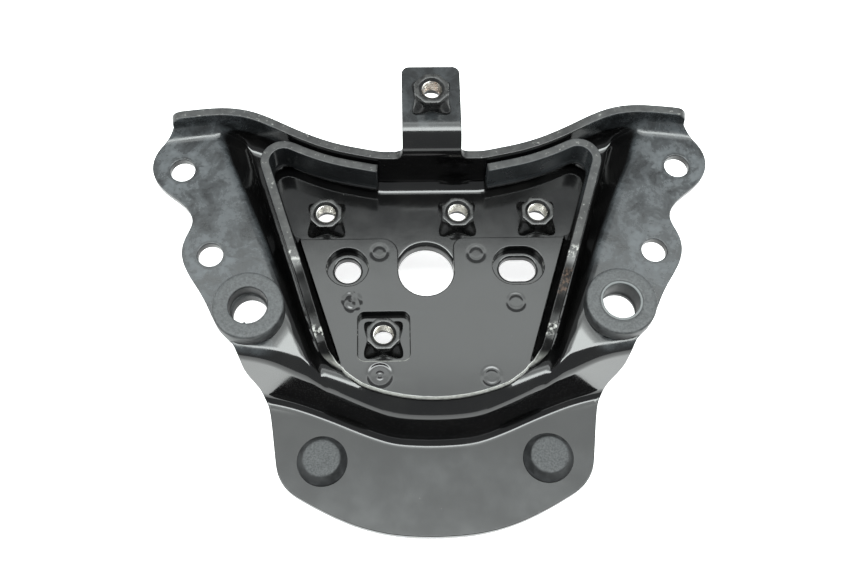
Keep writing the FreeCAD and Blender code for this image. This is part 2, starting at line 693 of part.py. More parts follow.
sk = sketch_on(pan, "XY_Plane", "pan_inside")
sk.AttachmentOffset = FreeCAD.Placement(V(0, 0, T), FreeCAD.Rotation())
sk.setExpression("AttachmentOffset.Base.z", "dims.sheet_thick")
xi, yi = rear_of_pan(sk, T, -45.0)
line(sk, (xi, yi), (-xi, yi))
inside = pan.newObject("PartDesign::Pocket", "pan_hollow")
inside.Profile = sk
inside.setExpression("Length", "dims.pan_rise - dims.sheet_thick + 1")
pan.Tip = inside
doc.recompute()
if inside.Shape.Volume > pan_pad.Shape.Volume * 0.6:
    inside.Reversed = not inside.Reversed
    doc.recompute()


def side_edges(shape, z, off):
    found = []
    for i, e in enumerate(shape.Edges, start=1):
        b = e.BoundBox
        if abs(b.ZMin - z) < 1e-4 and abs(b.ZMax - z) < 1e-4 and b.YLength > 20:
            ends = [v.Point for v in e.Vertexes]
            if all(abs(abs(p.x) - wall_line(p.y, off)) < 1e-3 for p in ends):
                found.append("Edge%d" % i)
    return found


bend_in = pan.newObject("PartDesign::Fillet", "pan_bend_inside")
bend_in.Base = (inside, side_edges(inside.Shape, T, -T / 2))
bend_in.setExpression("Radius", "dims.pan_bend_in")
pan.Tip = bend_in
doc.recompute()
bend_out = pan.newObject("PartDesign::Fillet", "pan_bend_outside")
bend_out.Base = (bend_in, side_edges(bend_in.Shape, 0.0, T / 2))
bend_out.setExpression("Radius", "dims.pan_bend_out")
pan.Tip = bend_out
doc.recompute()


def pocket(name, sk, length, base_volume):
    p = pan.newObject("PartDesign::Pocket", name)
    p.Profile = sk
    p.Length = length
    pan.Tip = p
    doc.recompute()
    if p.Shape.isNull() or p.Shape.Volume > base_volume - 1.0:
        p.Reversed = not p.Reversed
        doc.recompute()
    return p


# rear opening over the nuts, with the notch round the cable hole
sk = sketch_on(pan, "XY_Plane", "pan_rear_opening")
yq = dim("pan_rear_y")
cx, cy, cr = dim("cable_hole_x"), dim("notch_y"), dim("notch_dia") / 2
xl, xrt = cx - cr, cx + cr
ra, rb = 4.6, 3.0
line(sk, (xl, cy), (xl, yq - ra))
arc(sk, (xl, yq - ra), (xl - ra + ra * s45, yq - ra + ra * s45), (xl - ra, yq))
line(sk, (xl - ra, yq), (-60, yq))
line(sk, (-60, yq), (-60, 60))
line(sk, (-60, 60), (60, 60))
line(sk, (60, 60), (60, yq))
line(sk, (60, yq), (xrt + rb, yq))
arc(sk, (xrt + rb, yq), (xrt + rb - rb * s45, yq - rb + rb * s45), (xrt, yq - rb))
line(sk, (xrt, yq - rb), (xrt, cy))
arc(sk, (xrt, cy), (cx, cy - cr), (xl, cy))
opening = pan.newObject("PartDesign::Pocket", "pan_opening")
opening.Profile = sk
opening.setExpression("Length", "dims.sheet_thick")
pan.Tip = opening
doc.recompute()
if opening.Shape.Volume > bend_out.Shape.Volume - 100:
    opening.Reversed = not opening.Reversed
    doc.recompute()

# gap in the back wall
sk = sketch_on(pan, "XY_Plane", "pan_back_gap")
polygon(sk, [(dim("pan_back_left"), 25), (dim("pan_back_right"), 25), (dim("pan_back_right"), 45),
             (dim("pan_back_left"), 45)])
gap = pocket("pan_gap_cut", sk, 30, opening.Shape.Volume)

# side walls fall towards the front
sk = sketch_on(pan, "YZ_Plane", "pan_fall")
ys, yn, zs, zn = dim("pan_fall_start_y"), dim("pan_fall_end_y"), dim("pan_rise"), dim("pan_fall_end")
polygon(sk, [(ys, zs), (yn, zn), (-45, zn), (-45, zs + 4), (ys, zs + 4)])
fall = pan.newObject("PartDesign::Pocket", "pan_fall_cut")
fall.Profile = sk
fall.Length = 160
symmetric(fall)
pan.Tip = fall
doc.recompute()

# clearance holes, slot and nut window
sk = sketch_on(pan, "XY_Plane", "pan_holes")
sk.addGeometry(Part.Circle(V(dim("pilot_hole_x"), dim("pilot_hole_y"), 0), V(0, 0, 1),
                           dim("pilot_clear_dia") / 2), False)
sx, sy, sr, sl = dim("slot_x"), dim("slot_y"), dim("slot_clear_dia") / 2, dim("slot_clear_reach") / 2
line(sk, (sx - sl, sy + sr), (sx + sl, sy + sr))
arc(sk, (sx + sl, sy + sr), (sx + sl + sr, sy), (sx + sl, sy - sr))
line(sk, (sx + sl, sy - sr), (sx - sl, sy - sr))
arc(sk, (sx - sl, sy - sr), (sx - sl - sr, sy), (sx - sl, sy + sr))
wx, wy, wh, wc = dim("window_x"), dim("window_y"), dim("window_half"), dim("window_corner")
line(sk, (wx - wh + wc, wy - wh), (wx + wh - wc, wy - wh))
line(sk, (wx + wh, wy - wh + wc), (wx + wh, wy + wh - wc))
line(sk, (wx + wh - wc, wy + wh), (wx - wh + wc, wy + wh))
line(sk, (wx - wh, wy + wh - wc), (wx - wh, wy - wh + wc))
kx = wh - wc
for sgx, sgy in ((1, 1), (-1, 1), (-1, -1), (1, -1)):
    c0 = (wx + sgx * kx, wy + sgy * kx)
    arc(sk, (c0[0] + sgx * wc, c0[1]), (c0[0] + sgx * wc * s45, c0[1] + sgy * wc * s45), (c0[0], c0[1] + sgy * wc))
holes = pocket("pan_hole_cut", sk, 8, fall.Shape.Volume)
doc.recompute()

# the pan is told apart the same way: two walls along their bends, and its floor between the holes


def wall_region(name, sgn):
    sk = doc.addObject("Sketcher::SketchObject", name + "_line")
    off = -T / 2 - dim("pan_bend_in") - 0.1
    y1 = dim("pan_rear_y") + 0.5
    polygon(sk, [(sgn * x, y) for x, y in ((wall_line(-60.0, off), -60.0), (wall_line(y1, off), y1), (0.0, y1),
                                           (0.0, 70.0), (95.0, 70.0), (95.0, -60.0))])
    e = doc.addObject("Part::Extrusion", name)
    e.Base = sk
    e.DirMode = "Custom"
    e.Dir = V(0, 0, 1)
    e.Solid = True
    e.LengthFwd = 40
    e.LengthRev = 40
    return e


left_wall_side = wall_region("left_wall_side", -1)
right_wall_side = wall_region("right_wall_side", 1)
doc.recompute()
pan_left_wall = pair("Common", "pan_left_wall", pan, left_wall_side)
pan_not_left = pair("Cut", "pan_not_left", pan, left_wall_side)
pan_right_wall = pair("Common", "pan_right_wall", pan_not_left, right_wall_side)
pan_floor = pair("Cut", "pan_floor", pan_not_left, right_wall_side)
pan_left_floor = pair("Common", "pan_left_floor", pan_floor, left_block)
pan_floor_rest = pair("Cut", "pan_floor_rest", pan_floor, left_block)
pan_right_floor = pair("Common", "pan_right_floor", pan_floor_rest, right_block)
pan_middle_floor = pair("Cut", "pan_middle_floor", pan_floor_rest, right_block)
pan_parts = [pan_left_wall, pan_right_wall, pan_left_floor, pan_middle_floor, pan_right_floor]
doc.recompute()
for o in pan_parts:
    o.Label = o.Name
    o.setExpression("Placement.Base.y", "dims.frame_shift_y")
    o.setExpression("Placement.Base.z", "dims.frame_shift_z")
doc.recompute()

# ---------------------------------------------------------------- square weld nuts
nut_bodies = []
for tag in ("a", "b", "c", "d", "e"):
    body = doc.addObject("PartDesign::Body", "weld_nut_" + tag)
    sk = sketch_on(body, "XY_Plane", "nut_base_sketch_" + tag)
    hf, sc, cr_ = dim("nut_half"), dim("nut_scoop"), 1.3
    for k in range(4):
        a = math.radians(90 * k)
        ca, sa = math.cos(a), math.sin(a)

        def turn(p):
            return (p[0] * ca - p[1] * sa, p[0] * sa + p[1] * ca)
        e = hf - cr_
        arc(sk, turn((hf, -e)), turn((hf - sc, 0)), turn((hf, e)))
        arc(sk, turn((hf, e)), turn((e + cr_ * s45, e + cr_ * s45)), turn((e, hf)))
    base = body.newObject("PartDesign::Pad", "nut_base_" + tag)
    base.Profile = sk
    base.setExpression("Length", "dims.nut_base_rise")
    body.Tip = base
    doc.recompute()
    sk = sketch_on(body, "XZ_Plane", "nut_collar_sketch_" + tag)
    r0, r1, r2 = dim("nut_bore_dia") / 2, dim("nut_collar_dia") / 2, dim("nut_half") - dim("nut_scoop") + 0.05
    h0, h1 = dim("nut_base_rise"), dim("nut_rise")
    polygon(sk, [(0.5, 0.4), (r2, 0.4), (r2 + 0.25, h0), (r1 - 0.1, h0 + 1.0), (0.5, h0 + 1.0)])
    collar = body.newObject("PartDesign::Revolution", "nut_collar_" + tag)
    collar.Profile = sk
    collar.ReferenceAxis = (sk, ["V_Axis"])
    collar.Angle = 360
    body.Tip = collar
    doc.recompute()
    sk = sketch_on(body, "XY_Plane", "nut_head_sketch_" + tag)
    oct_r = r1 / math.cos(math.pi / 8)
    polygon(sk, [(oct_r * math.cos(math.pi / 8 + k * math.pi / 4), oct_r * math.sin(math.pi / 8 + k * math.pi / 4))
                 for k in range(8)])
    head = body.newObject("PartDesign::Pad", "nut_head_" + tag)
    head.Profile = sk
    head.setExpression("Length", "dims.nut_rise")
    body.Tip = head
    doc.recompute()
    sk = sketch_on(body, "XZ_Plane", "nut_bore_sketch_" + tag)
    polygon(sk, [(0, -1), (r0, -1), (r0, h1 - 0.6), (r0 + 0.7, h1 + 0.1), (r0 + 0.7, h1 + 1), (0, h1 + 1)])
    bore = body.newObject("PartDesign::Groove", "nut_bore_" + tag)
    bore.Profile = sk
    bore.ReferenceAxis = (sk, ["V_Axis"])
    bore.Angle = 360
    body.Tip = bore
    doc.recompute()
    if tag == "e":
        body.setExpression("Placement.Base.x", "0")
        body.setExpression("Placement.Base.y", "dims.tab_nut_y")
        body.setExpression("Placement.Base.z", "dims.tab_level")
    else:
        body.setExpression("Placement.Base.x", "dims.nut_%s_x" % tag)
        body.setExpression("Placement.Base.y", "dims.nut_d_y" if tag == "d" else "dims.nut_row_y")
        body.setExpression("Placement.Base.z", "0")
    nut_bodies.append(body)
doc.recompute()
nuts = doc.addObject("Part::Compound", "weld_nuts")
nuts.Label = "weld_nuts"
nuts.Links = nut_bodies
nuts.setExpression("Placement.Base.y", "dims.frame_shift_y")
nuts.setExpression("Placement.Base.z", "dims.frame_shift_z")
doc.recompute()

# ---------------------------------------------------------------- rubber pieces
exports = sheet_parts + pan_parts + [nuts]


def revolved(name, points, x, y, z):
    body = doc.addObject("PartDesign::Body", name)
    body.Label = name
    sk = sketch_on(body, "XZ_Plane", name + "_profile")
    polygon(sk, points)
    rev = body.newObject("PartDesign::Revolution", name + "_turned")
    rev.Profile = sk
    rev.ReferenceAxis = (sk, ["V_Axis"])
    rev.Angle = 360
    body.Tip = rev
    doc.recompute()
    body.setExpression("Placement.Base.x", x)
    body.setExpression("Placement.Base.y", y)
    body.setExpression("Placement.Base.z", z)
    doc.recompute()
    exports.append(body)
    return body


gb, gs, gt, gl = (dim(k) / 2 for k in ("grommet_bore_dia", "grommet_seat_dia", "grommet_top_dia", "grommet_low_dia"))
rise, drop_, rd = dim("grommet_top_rise"), dim("grommet_low_drop"), dim("grommet_round")
grommet_profile = [(gb, -T - drop_ + 0.3), (gb + 0.3, -T - drop_), (gl - 0.5, -T - drop_), (gl, -T - drop_ + 0.5),
                   (gl, -T), (gs, -T), (gs, 0.0), (gt, 0.0), (gt, rise - rd), (gt - rd * 0.3, rise - rd * 0.3),
                   (gt - rd, rise), (gb + 0.4, rise), (gb, rise - 0.4)]
sb, sf, st, sg = (dim(k) / 2 for k in ("stopper_base_dia", "stopper_face_dia", "stopper_stem_dia", "stopper_barb_dia"))
hr, hb = dim("stopper_rise"), dim("stopper_barb_rise")
stopper_profile = [(0, -T - hb), (st - 0.6, -T - hb), (sg, -T - hb * 0.35), (sg, -T), (st, -T), (st, 0.0), (sb, 0.0),
                   (sb, 0.6), (sf + 0.4, hr - 0.25), (sf - 0.2, hr), (0, hr)]
for side, sign in (("left", "-"), ("right", "")):
    revolved(side + "_grommet", grommet_profile, sign + "dims.grommet_x", "dims.grommet_y + dims.frame_shift_y",
             "dims.ear_level + dims.frame_shift_z")
for side, sign in (("left", "-"), ("right", "")):
    revolved(side + "_stopper", stopper_profile, sign + "dims.stopper_x", "dims.stopper_y + dims.frame_shift_y",
             "dims.lower_level + dims.frame_shift_z")
doc.recompute()

# ---------------------------------------------------------------- checks and files
for obj in doc.Objects:
    if any(word in obj.State for word in ("Invalid", "Error")):
        raise RuntimeError("%s is %s" % (obj.Name, obj.State))
os.makedirs("parts", exist_ok=True)
for obj in exports:
    s = obj.Shape
    if s.isNull() or not s.isValid():
        raise RuntimeError("%s has no valid shape" % obj.Label)
    s.exportStep("parts/%s.step" % obj.Label)
    b = s.BoundBox
    print("%-16s solids %d  volume %.0f  x %.1f..%.1f  y %.1f..%.1f  z %.1f..%.1f" % (
        obj.Label, len(s.Solids), s.Volume, b.XMin, b.XMax, b.YMin, b.YMax, b.ZMin, b.ZMax))
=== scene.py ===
import json
import math
import bpy
import numpy as np
from mathutils import Matrix, Vector
from mathutils.geometry import delaunay_2d_cdt

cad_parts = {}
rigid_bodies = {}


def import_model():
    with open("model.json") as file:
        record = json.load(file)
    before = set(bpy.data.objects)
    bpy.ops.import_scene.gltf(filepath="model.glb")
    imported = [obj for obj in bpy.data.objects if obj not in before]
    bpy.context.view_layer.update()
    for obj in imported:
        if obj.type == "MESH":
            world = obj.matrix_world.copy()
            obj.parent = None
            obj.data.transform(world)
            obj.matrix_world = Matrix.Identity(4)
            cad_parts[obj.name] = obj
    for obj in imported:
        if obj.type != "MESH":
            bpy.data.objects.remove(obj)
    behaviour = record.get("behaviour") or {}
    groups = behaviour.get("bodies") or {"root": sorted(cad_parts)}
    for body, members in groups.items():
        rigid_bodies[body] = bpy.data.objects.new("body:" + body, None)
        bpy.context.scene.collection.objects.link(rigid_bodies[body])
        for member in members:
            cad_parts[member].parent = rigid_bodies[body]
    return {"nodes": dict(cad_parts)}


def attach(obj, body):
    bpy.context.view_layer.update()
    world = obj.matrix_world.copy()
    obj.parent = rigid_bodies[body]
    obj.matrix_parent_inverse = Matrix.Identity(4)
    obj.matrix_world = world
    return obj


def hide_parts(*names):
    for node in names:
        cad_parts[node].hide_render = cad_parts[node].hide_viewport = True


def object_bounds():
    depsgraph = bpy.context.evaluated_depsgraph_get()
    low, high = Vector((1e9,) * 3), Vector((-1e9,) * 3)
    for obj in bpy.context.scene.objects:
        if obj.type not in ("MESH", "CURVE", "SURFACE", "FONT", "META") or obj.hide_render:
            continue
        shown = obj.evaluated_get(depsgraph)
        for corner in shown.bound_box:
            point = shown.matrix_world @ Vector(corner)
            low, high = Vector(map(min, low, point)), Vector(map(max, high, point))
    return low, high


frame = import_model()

cad_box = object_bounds()
nodes = frame["nodes"]

# Shapes are worked out in millimetres with the tray floor's upper face at z = 0, then moved into the shared frame.
SHIFT = np.array([0.0, 9.1, -7.5])
T = 2.6


def to_frame(p):
    return (np.asarray(p, float) + SHIFT) * 0.001


# ------------------------------------------------------------------ shape laws of the pressed sheet
class Spline:
    def __init__(self, points):
        xs = np.array([p[0] for p in points], float)
        ys = np.array([p[1] for p in points], float)
        n = len(xs)
        a = np.eye(n)
        b = np.zeros(n)
        for i in range(1, n - 1):
            h0, h1 = xs[i] - xs[i - 1], xs[i + 1] - xs[i]
            a[i, i - 1], a[i, i], a[i, i + 1] = h0, 2 * (h0 + h1), h1
            b[i] = 6 * ((ys[i + 1] - ys[i]) / h1 - (ys[i] - ys[i - 1]) / h0)
        self.xs, self.ys, self.m = xs, ys, np.linalg.solve(a, b)

    def __call__(self, x):
        x = np.asarray(x, float)
        xs, ys, m = self.xs, self.ys, self.m
        i = np.clip(np.searchsorted(xs, x) - 1, 0, len(xs) - 2)
        h = xs[i + 1] - xs[i]
        a, b = (xs[i + 1] - x) / h, (x - xs[i]) / h
        return a * ys[i] + b * ys[i + 1] + ((a ** 3 - a) * m[i] + (b ** 3 - b) * m[i + 1]) * h * h / 6


def even(points):
    return [(-x, y) for x, y in reversed(points) if x > 0] + list(points)


arch = Spline(even([(0, 0), (5.4, 0.8), (12.8, 2.5), (20, 5.0), (28, 8.8), (34, 11.9),
                    (40, 14.2), (46, 15.05), (53, 14.7), (61, 13.7), (75, 11.8)]))
foot = Spline(even([(0, -40.8), (6, -40.6), (12.3, -39.8), (17.8, -38.1), (23.1, -36.0), (28, -33.9),
                    (34, -31.5), (40, -29.4), (47.3, -27.6), (60, -25.5), (88, -22.3)]))
EAR, LOW, TOP = 7.5, -18.0, 14.2
TAPER, WALL_X, WALL_Y = 0.318, 29.8, -20.5
TILT = math.sqrt(1 + TAPER ** 2)
FF, FA = 2.5, math.radians(83.0)
RB = 4.0


def brow(x):
    return 4.0 + 3.2 * np.maximum(0.0, 1 - (np.asarray(x) / 42.0) ** 2)


def slope_of(f, x):
    return (f(x + 0.05) - f(x - 0.05)) / 0.1


def flange_mid(x):
    d = np.abs(x) - 13.0
    return 35.4 + np.where(d > 0, arch(np.maximum(d, 0)), 0.0)


def flange_cos(x):
    return 1 / np.sqrt(1 + slope_of(flange_mid, x) ** 2)


def flange_face(x, inset=0.0):
    return flange_mid(x) - (T / 2 + inset) / flange_cos(x)


def ramp_length(th, height, rt, rf):
    short = (rf + rt) * (1 - np.cos(th)) > height
    th2 = np.where(short, np.arccos(np.clip(1 - height / (rf + rt), 0.0, 1.0)), th)
    length = np.where(short, (rf + rt) * np.sin(th2), (rf + rt) * np.tan(th / 2) + height / np.tan(th))
    return length, th2


def ramp(q, th, height, rt, rf):
    length, t2 = ramp_length(th, height, rt, rf)
    s = np.sin(t2)
    low = rf - np.sqrt(np.maximum(rf ** 2 - np.minimum(q, rf) ** 2, 0.0))
    e = length - q
    high = height - rt + np.sqrt(np.maximum(rt ** 2 - np.clip(e, 0, rt) ** 2, 0.0))
    mid = rf * (1 - np.cos(t2)) + (q - rf * s) * np.tan(t2)
    z = np.where(q <= rf * s, low, np.where(q >= length - rt * s, high, mid))
    return np.where(q <= 0, 0.0, np.where(q >= length, height, z))


def wall_line(y, off):
    return WALL_X + TAPER * (y - WALL_Y) + off * TILT


def base_level(x, y):
    ax = np.abs(x)
    q = (ax - wall_line(y, T / 2 + 0.5)) / TILT
    th = np.radians(np.clip(50 + (32 - y) * 0.69, 46, 74))
    u = 0.868 * (50.1 - ax) - 0.496 * (y + 9.1) - 10.0
    drop = np.where(u < -3, 0.0, np.where(u < 3, 0.42 * (u + 3) ** 2 / 12, 0.42 * u))
    return ramp(q, th, np.maximum(EAR - drop, 0.3), 3.4, 1.5)


def front(x):
    ca = 1 / np.sqrt(1 + slope_of(foot, x) ** 2)
    yf = foot(x)
    h = np.full(np.shape(x), EAR)
    for _ in range(30):
        length, th = ramp_length(np.full(np.shape(x), FA), h - LOW, brow(x), FF)
        h = base_level(x, yf + length / ca)
    return ca, yf, length, th


# One smooth strip of sheet: from the tab's end, over its bend, down the flange, along the floor, down the front wall
# and out along the lower lip.  The second coordinate runs along it in these stretches.
STRETCH = [("tab", 18.1), ("tab_bend", 11.94), ("flange", 10.6), ("bend", 6.3), ("floor", 60.0),
           ("brow", 5.8), ("wall", 19.0), ("foot", 3.6), ("lip", 31.0)]
START = {}
run = 0.0
for key, size in STRETCH:
    START[key] = (run, size)
    run += size
V_END = run
TAB_Z, TAB_R, TAB_END = 22.2, 7.6, 59.8
YF0 = 35.4 - T / 2


def part_of(v, key):
    a, b = START[key]
    return (v - a) / b


def sheet_point(x, v):
    x = np.asarray(x, float)
    v = np.asarray(v, float)
    out = np.zeros(x.shape + (3,))
    yw, c = flange_face(x), flange_cos(x)
    z0 = base_level(x, yw - 0.3)
    y_back = yw - RB / c
    ca, yf, length, th = front(x)
    y_brow = yf + length / ca

    def put(key, y, z):
        a, b = START[key]
        m = (v >= a) & (v < a + b) if key != "lip" else (v >= a)
        if key == "tab":
            m = v < a + b
        out[m, 0], out[m, 1], out[m, 2] = x[m], y[m], z[m]

    t = part_of(v, "tab")
    put("tab", TAB_END + (YF0 + TAB_R - TAB_END) * t, np.full(x.shape, TAB_Z))
    a = (1 - part_of(v, "tab_bend")) * math.pi / 2
    put("tab_bend", YF0 + TAB_R - TAB_R * np.cos(a), TAB_Z - TAB_R + TAB_R * np.sin(a))
    f = part_of(v, "flange")
    put("flange", yw, (TAB_Z - TAB_R) + (z0 + RB - (TAB_Z - TAB_R)) * f)
    a = (1 - part_of(v, "bend")) * math.pi / 2
    y = yw - RB * (1 - np.sin(a)) / c
    blend = np.clip(part_of(v, "bend"), 0, 1)
    put("bend", y, (1 - blend) * z0 + blend * base_level(x, y) + RB * (1 - np.cos(a)))
    y = y_back + (y_brow - y_back) * part_of(v, "floor")
    put("floor", y, base_level(x, y))

    def drop(p):
        y = yf + p / ca
        return y, LOW + ramp(p, np.full(x.shape, FA), base_level(x, y) - LOW, brow(x), FF)

    put("brow", *drop(length - brow(x) * np.sin(th * np.clip(part_of(v, "brow"), 0, 1))))
    p0, p1 = length - brow(x) * np.sin(th), FF * np.sin(th)
    put("wall", *drop(p0 + (p1 - p0) * part_of(v, "wall")))
    put("foot", *drop(FF * np.sin(th * np.clip(1 - part_of(v, "foot"), 0, 1))))
    put("lip", yf + (-72.0 - yf) * part_of(v, "lip"), np.full(x.shape, LOW))
    return out


def v_of_y(x, y):
    """place along the strip of a point given in plan, for the bend, floor, wall and lip"""
    x, y = np.asarray(x, float), np.asarray(y, float)
    yw, c = flange_face(x), flange_cos(x)
    y_back = yw - RB / c
    ca, yf, length, th = front(x)
    y_brow = yf + length / ca
    a = np.arcsin(np.clip(1 - (yw - y) * c / RB, 0, 1))
    v = START["bend"][0] + START["bend"][1] * (1 - a / (math.pi / 2))
    v = np.where(y < y_back, START["floor"][0] + START["floor"][1] * (y_back - y) / (y_back - y_brow), v)
    p = (y - yf) * ca
    k = np.arcsin(np.clip((length - p) / brow(x), 0, 1)) / th
    v = np.where(y < y_brow, START["brow"][0] + START["brow"][1] * k, v)
    p0, p1 = length - brow(x) * np.sin(th), FF * np.sin(th)
    v = np.where(p < p0, START["wall"][0] + START["wall"][1] * (p0 - p) / (p0 - p1), v)
    k = 1 - np.arcsin(np.clip(p / FF, 0, 1)) / th
    v = np.where(p < p1, START["foot"][0] + START["foot"][1] * k, v)
    return np.where(p < 0, START["lip"][0] + START["lip"][1] * (yf - y) / (yf + 72.0), v)


def v_of_wall_z(x, z):
    """place along the strip of a height on the front wall"""
    grid = np.linspace(START["brow"][0], START["lip"][0] - 1e-6, 400)
    out = []
    for xi, zi in zip(np.atleast_1d(x), np.atleast_1d(z)):
        zz = sheet_point(np.full(400, xi), grid)[:, 2]
        out.append(np.interp(-zi, -zz, grid))
    return np.array(out)


def v_of_flange_z(x, z):
    x = np.asarray(x, float)
    z0 = base_level(x, flange_face(x) - 0.3)
    a, b = START["flange"]
    return a + b * (TAB_Z - TAB_R - z) / (TAB_Z - TAB_R - z0 - RB)


def through(points, step):
    """smooth line through points in the plane, sampled evenly"""
    p = np.array(points, float)
    t = np.r_[0, np.cumsum(np.hypot(*np.diff(p, axis=0).T))]
    sx, sy = Spline(list(zip(t, p[:, 0]))), Spline(list(zip(t, p[:, 1])))
    n = max(3, int(t[-1] / step))
    k = np.linspace(0, t[-1], n)
    return np.c_[sx(k), sy(k)]


def arc_pts(cx, cy, r, a0, a1, n):
    a = np.radians(np.linspace(a0, a1, n))
    return np.c_[cx + r * np.cos(a), cy + r * np.sin(a)]


# ------------------------------------------------------------------ mesh of a sheet with rounded cut edges
def inside_loops(p, loops):
    odd = np.zeros(len(p), bool)
    for lp in loops:
        a, b = lp, np.roll(lp, -1, axis=0)
        for (x0, y0), (x1, y1) in zip(a, b):
            if y0 == y1:
                continue
            m = (p[:, 1] > min(y0, y1)) & (p[:, 1] <= max(y0, y1))
            if m.any():
                xi = x0 + (p[m, 1] - y0) * (x1 - x0) / (y1 - y0)
                idx = np.where(m)[0]
                odd[idx[p[m, 0] < xi]] ^= True
    return odd


def away_from(p, loop, dist):
    keep = np.ones(len(p), bool)
    lo, hi = loop.min(0) - dist, loop.max(0) + dist
    near = np.where((p > lo).all(1) & (p < hi).all(1))[0]
    a, b = loop, np.roll(loop, -1, axis=0)
    d = b - a
    l2 = np.maximum((d ** 2).sum(1), 1e-12)
    for chunk in np.array_split(near, max(1, len(near) // 400)):
        if not len(chunk):
            continue
        q = p[chunk][:, None, :] - a[None]
        s = np.clip((q * d[None]).sum(2) / l2[None], 0, 1)
        r = np.hypot(*(q - s[..., None] * d[None]).transpose(2, 0, 1))
        keep[chunk] = r.min(1) > dist
    return keep


def triangulate(loops, pts):
    verts, edges = [], []
    for lp in loops:
        s = len(verts)
        verts += [Vector(q) for q in lp]
        edges += [(s + i, s + (i + 1) % len(lp)) for i in range(len(lp))]
    verts += [Vector(q) for q in pts]
    v, _, f, ov, _, _ = delaunay_2d_cdt(verts, edges, [], 0, 1e-5)
    p = np.array([(a.x, a.y) for a in v])
    tri = np.array([t for t in f if len(t) == 3])
    c = p[tri].mean(1)
    tri = tri[inside_loops(c, loops)]
    a, b, c = p[tri[:, 0]], p[tri[:, 1]], p[tri[:, 2]]
    area = (b - a)[:, 0] * (c - a)[:, 1] - (b - a)[:, 1] * (c - a)[:, 0]
    tri = tri[area > 4e-4]
    used = np.unique(tri)
    back = -np.ones(len(p), int)
    back[used] = np.arange(len(used))
    return p[used], back[tri]


def sheet_mesh(name, par, tri, point, step, rim_of, dent=None):
    """solid sheet from its upper face: parameters, triangles, the face's law, and the rim's round and depth by place"""
    par = np.asarray(par, float)

    def where(q):
        p = point(q[:, 0], q[:, 1])
        return p if dent is None else dent(q, p)

    P = where(par)
    e0, e1 = np.array([step, 0.0]), np.array([0.0, step])
    n = np.cross(where(par + e0) - where(par - e0), where(par + e1) - where(par - e1))
    n /= np.maximum(np.linalg.norm(n, axis=1), 1e-12)[:, None]
    g = np.cross(P[tri[:, 1]] - P[tri[:, 0]], P[tri[:, 2]] - P[tri[:, 0]])
    if ((g * n[tri].mean(1)).sum(1) < 0).mean() > 0.5:
        n = -n
    if n[np.argmax(np.abs(n[:, 2]))][2] < 0:
        n = -n
        tri = tri[:, ::-1]
    # border
    count = {}
    for a, b, c in tri:
        for u, w, o in ((a, b, c), (b, c, a), (c, a, b)):
            k = (min(u, w), max(u, w))
            count.setdefault(k, []).append((u, w, o))
    nxt, wsum = {}, {}
    for k, uses in count.items():
        if len(uses) == 1:
            u, w, o = uses[0]
            nxt[u] = w
            t = P[w] - P[u]
            d = P[o] - P[u]
            t = t / max(np.linalg.norm(t), 1e-9)
            d = d - t * (d @ t)
            d = -d / max(np.linalg.norm(d), 1e-9)
            for q in (u, w):
                wsum.setdefault(q, []).append(d)
    W = {}
    for q, ds in wsum.items():
        s = np.sum(ds, axis=0)
        s = s - n[q] * (s @ n[q])
        l = np.linalg.norm(s)
        s = s / max(l, 1e-9)
        c = max(0.6, float(np.mean([s @ d for d in ds])))
        W[q] = s / c
    loops = []
    left = dict(nxt)
    while left:
        s = next(iter(left))
        lp = [s]
        q = left.pop(s)
        while q != s and q in left:
            lp.append(q)
            q = left.pop(q)
        loops.append(lp)
    verts, norms, rim = [], [], []
    N = len(P)
    top = P.copy()
    low = P - n * T
    ring_v, ring_n, ring_r, faces = [], [], [], []
    base = 2 * N
    for lp in loops:
        idx = np.array(lp)
        w = np.array([W[q] for q in lp])
        wl = w / np.linalg.norm(w, axis=1)[:, None]
        nn = n[idx]
        pp = P[idx]
        e, deep, er = rim_of(par[idx], pp)
        e, deep, er = (np.asarray(z, float)[:, None] if np.ndim(z) else np.full((len(lp), 1), float(z)) for z in (e, deep, er))
        top[idx] = pp - w * e
        low[idx] = pp - w * er - nn * deep
        rows = []
        for ph in (22.5, 45.0, 67.5, 90.0):
            s, c = math.sin(math.radians(ph)), math.cos(math.radians(ph))
            rows.append((pp - w * e * (1 - s) - nn * e * (1 - c), nn * c + wl * s, 0.35 + 0.65 * ph / 90))
        rows.append((pp - nn * (e + (deep - er - e) * 0.5), wl, 1.0))
        for ph in (90.0, 45.0):
            s, c = math.sin(math.radians(ph)), math.cos(math.radians(ph))
            rows.append((pp - w * er * (1 - s) - nn * (deep - er * (1 - c)), -nn * c + wl * s, 0.9))
        ids = [idx]
        for rp, rn, rr in rows:
            ids.append(np.arange(base, base + len(lp)))
            base += len(lp)
            ring_v.append(rp)
            ring_n.append(rn)
            ring_r.append(np.full(len(lp), rr))
        ids.append(idx + N)
        for r0, r1 in zip(ids, ids[1:]):
            for i in range(len(lp)):
                j = (i + 1) % len(lp)
                faces.append((r0[j], r0[i], r1[i], r1[j]))
    V = np.vstack([top, low] + ring_v)
    NN = np.vstack([n, -n] + ring_n)
    RR = np.concatenate([np.zeros(2 * N)] + ring_r)
    for lp in loops:
        RR[np.array(lp)] = 0.2
        RR[np.array(lp) + N] = 0.2
    F = [tuple(t) for t in tri] + [(c + N, b + N, a + N) for a, b, c in tri] + faces
    return make(name, V, F, NN, {"rim": RR})


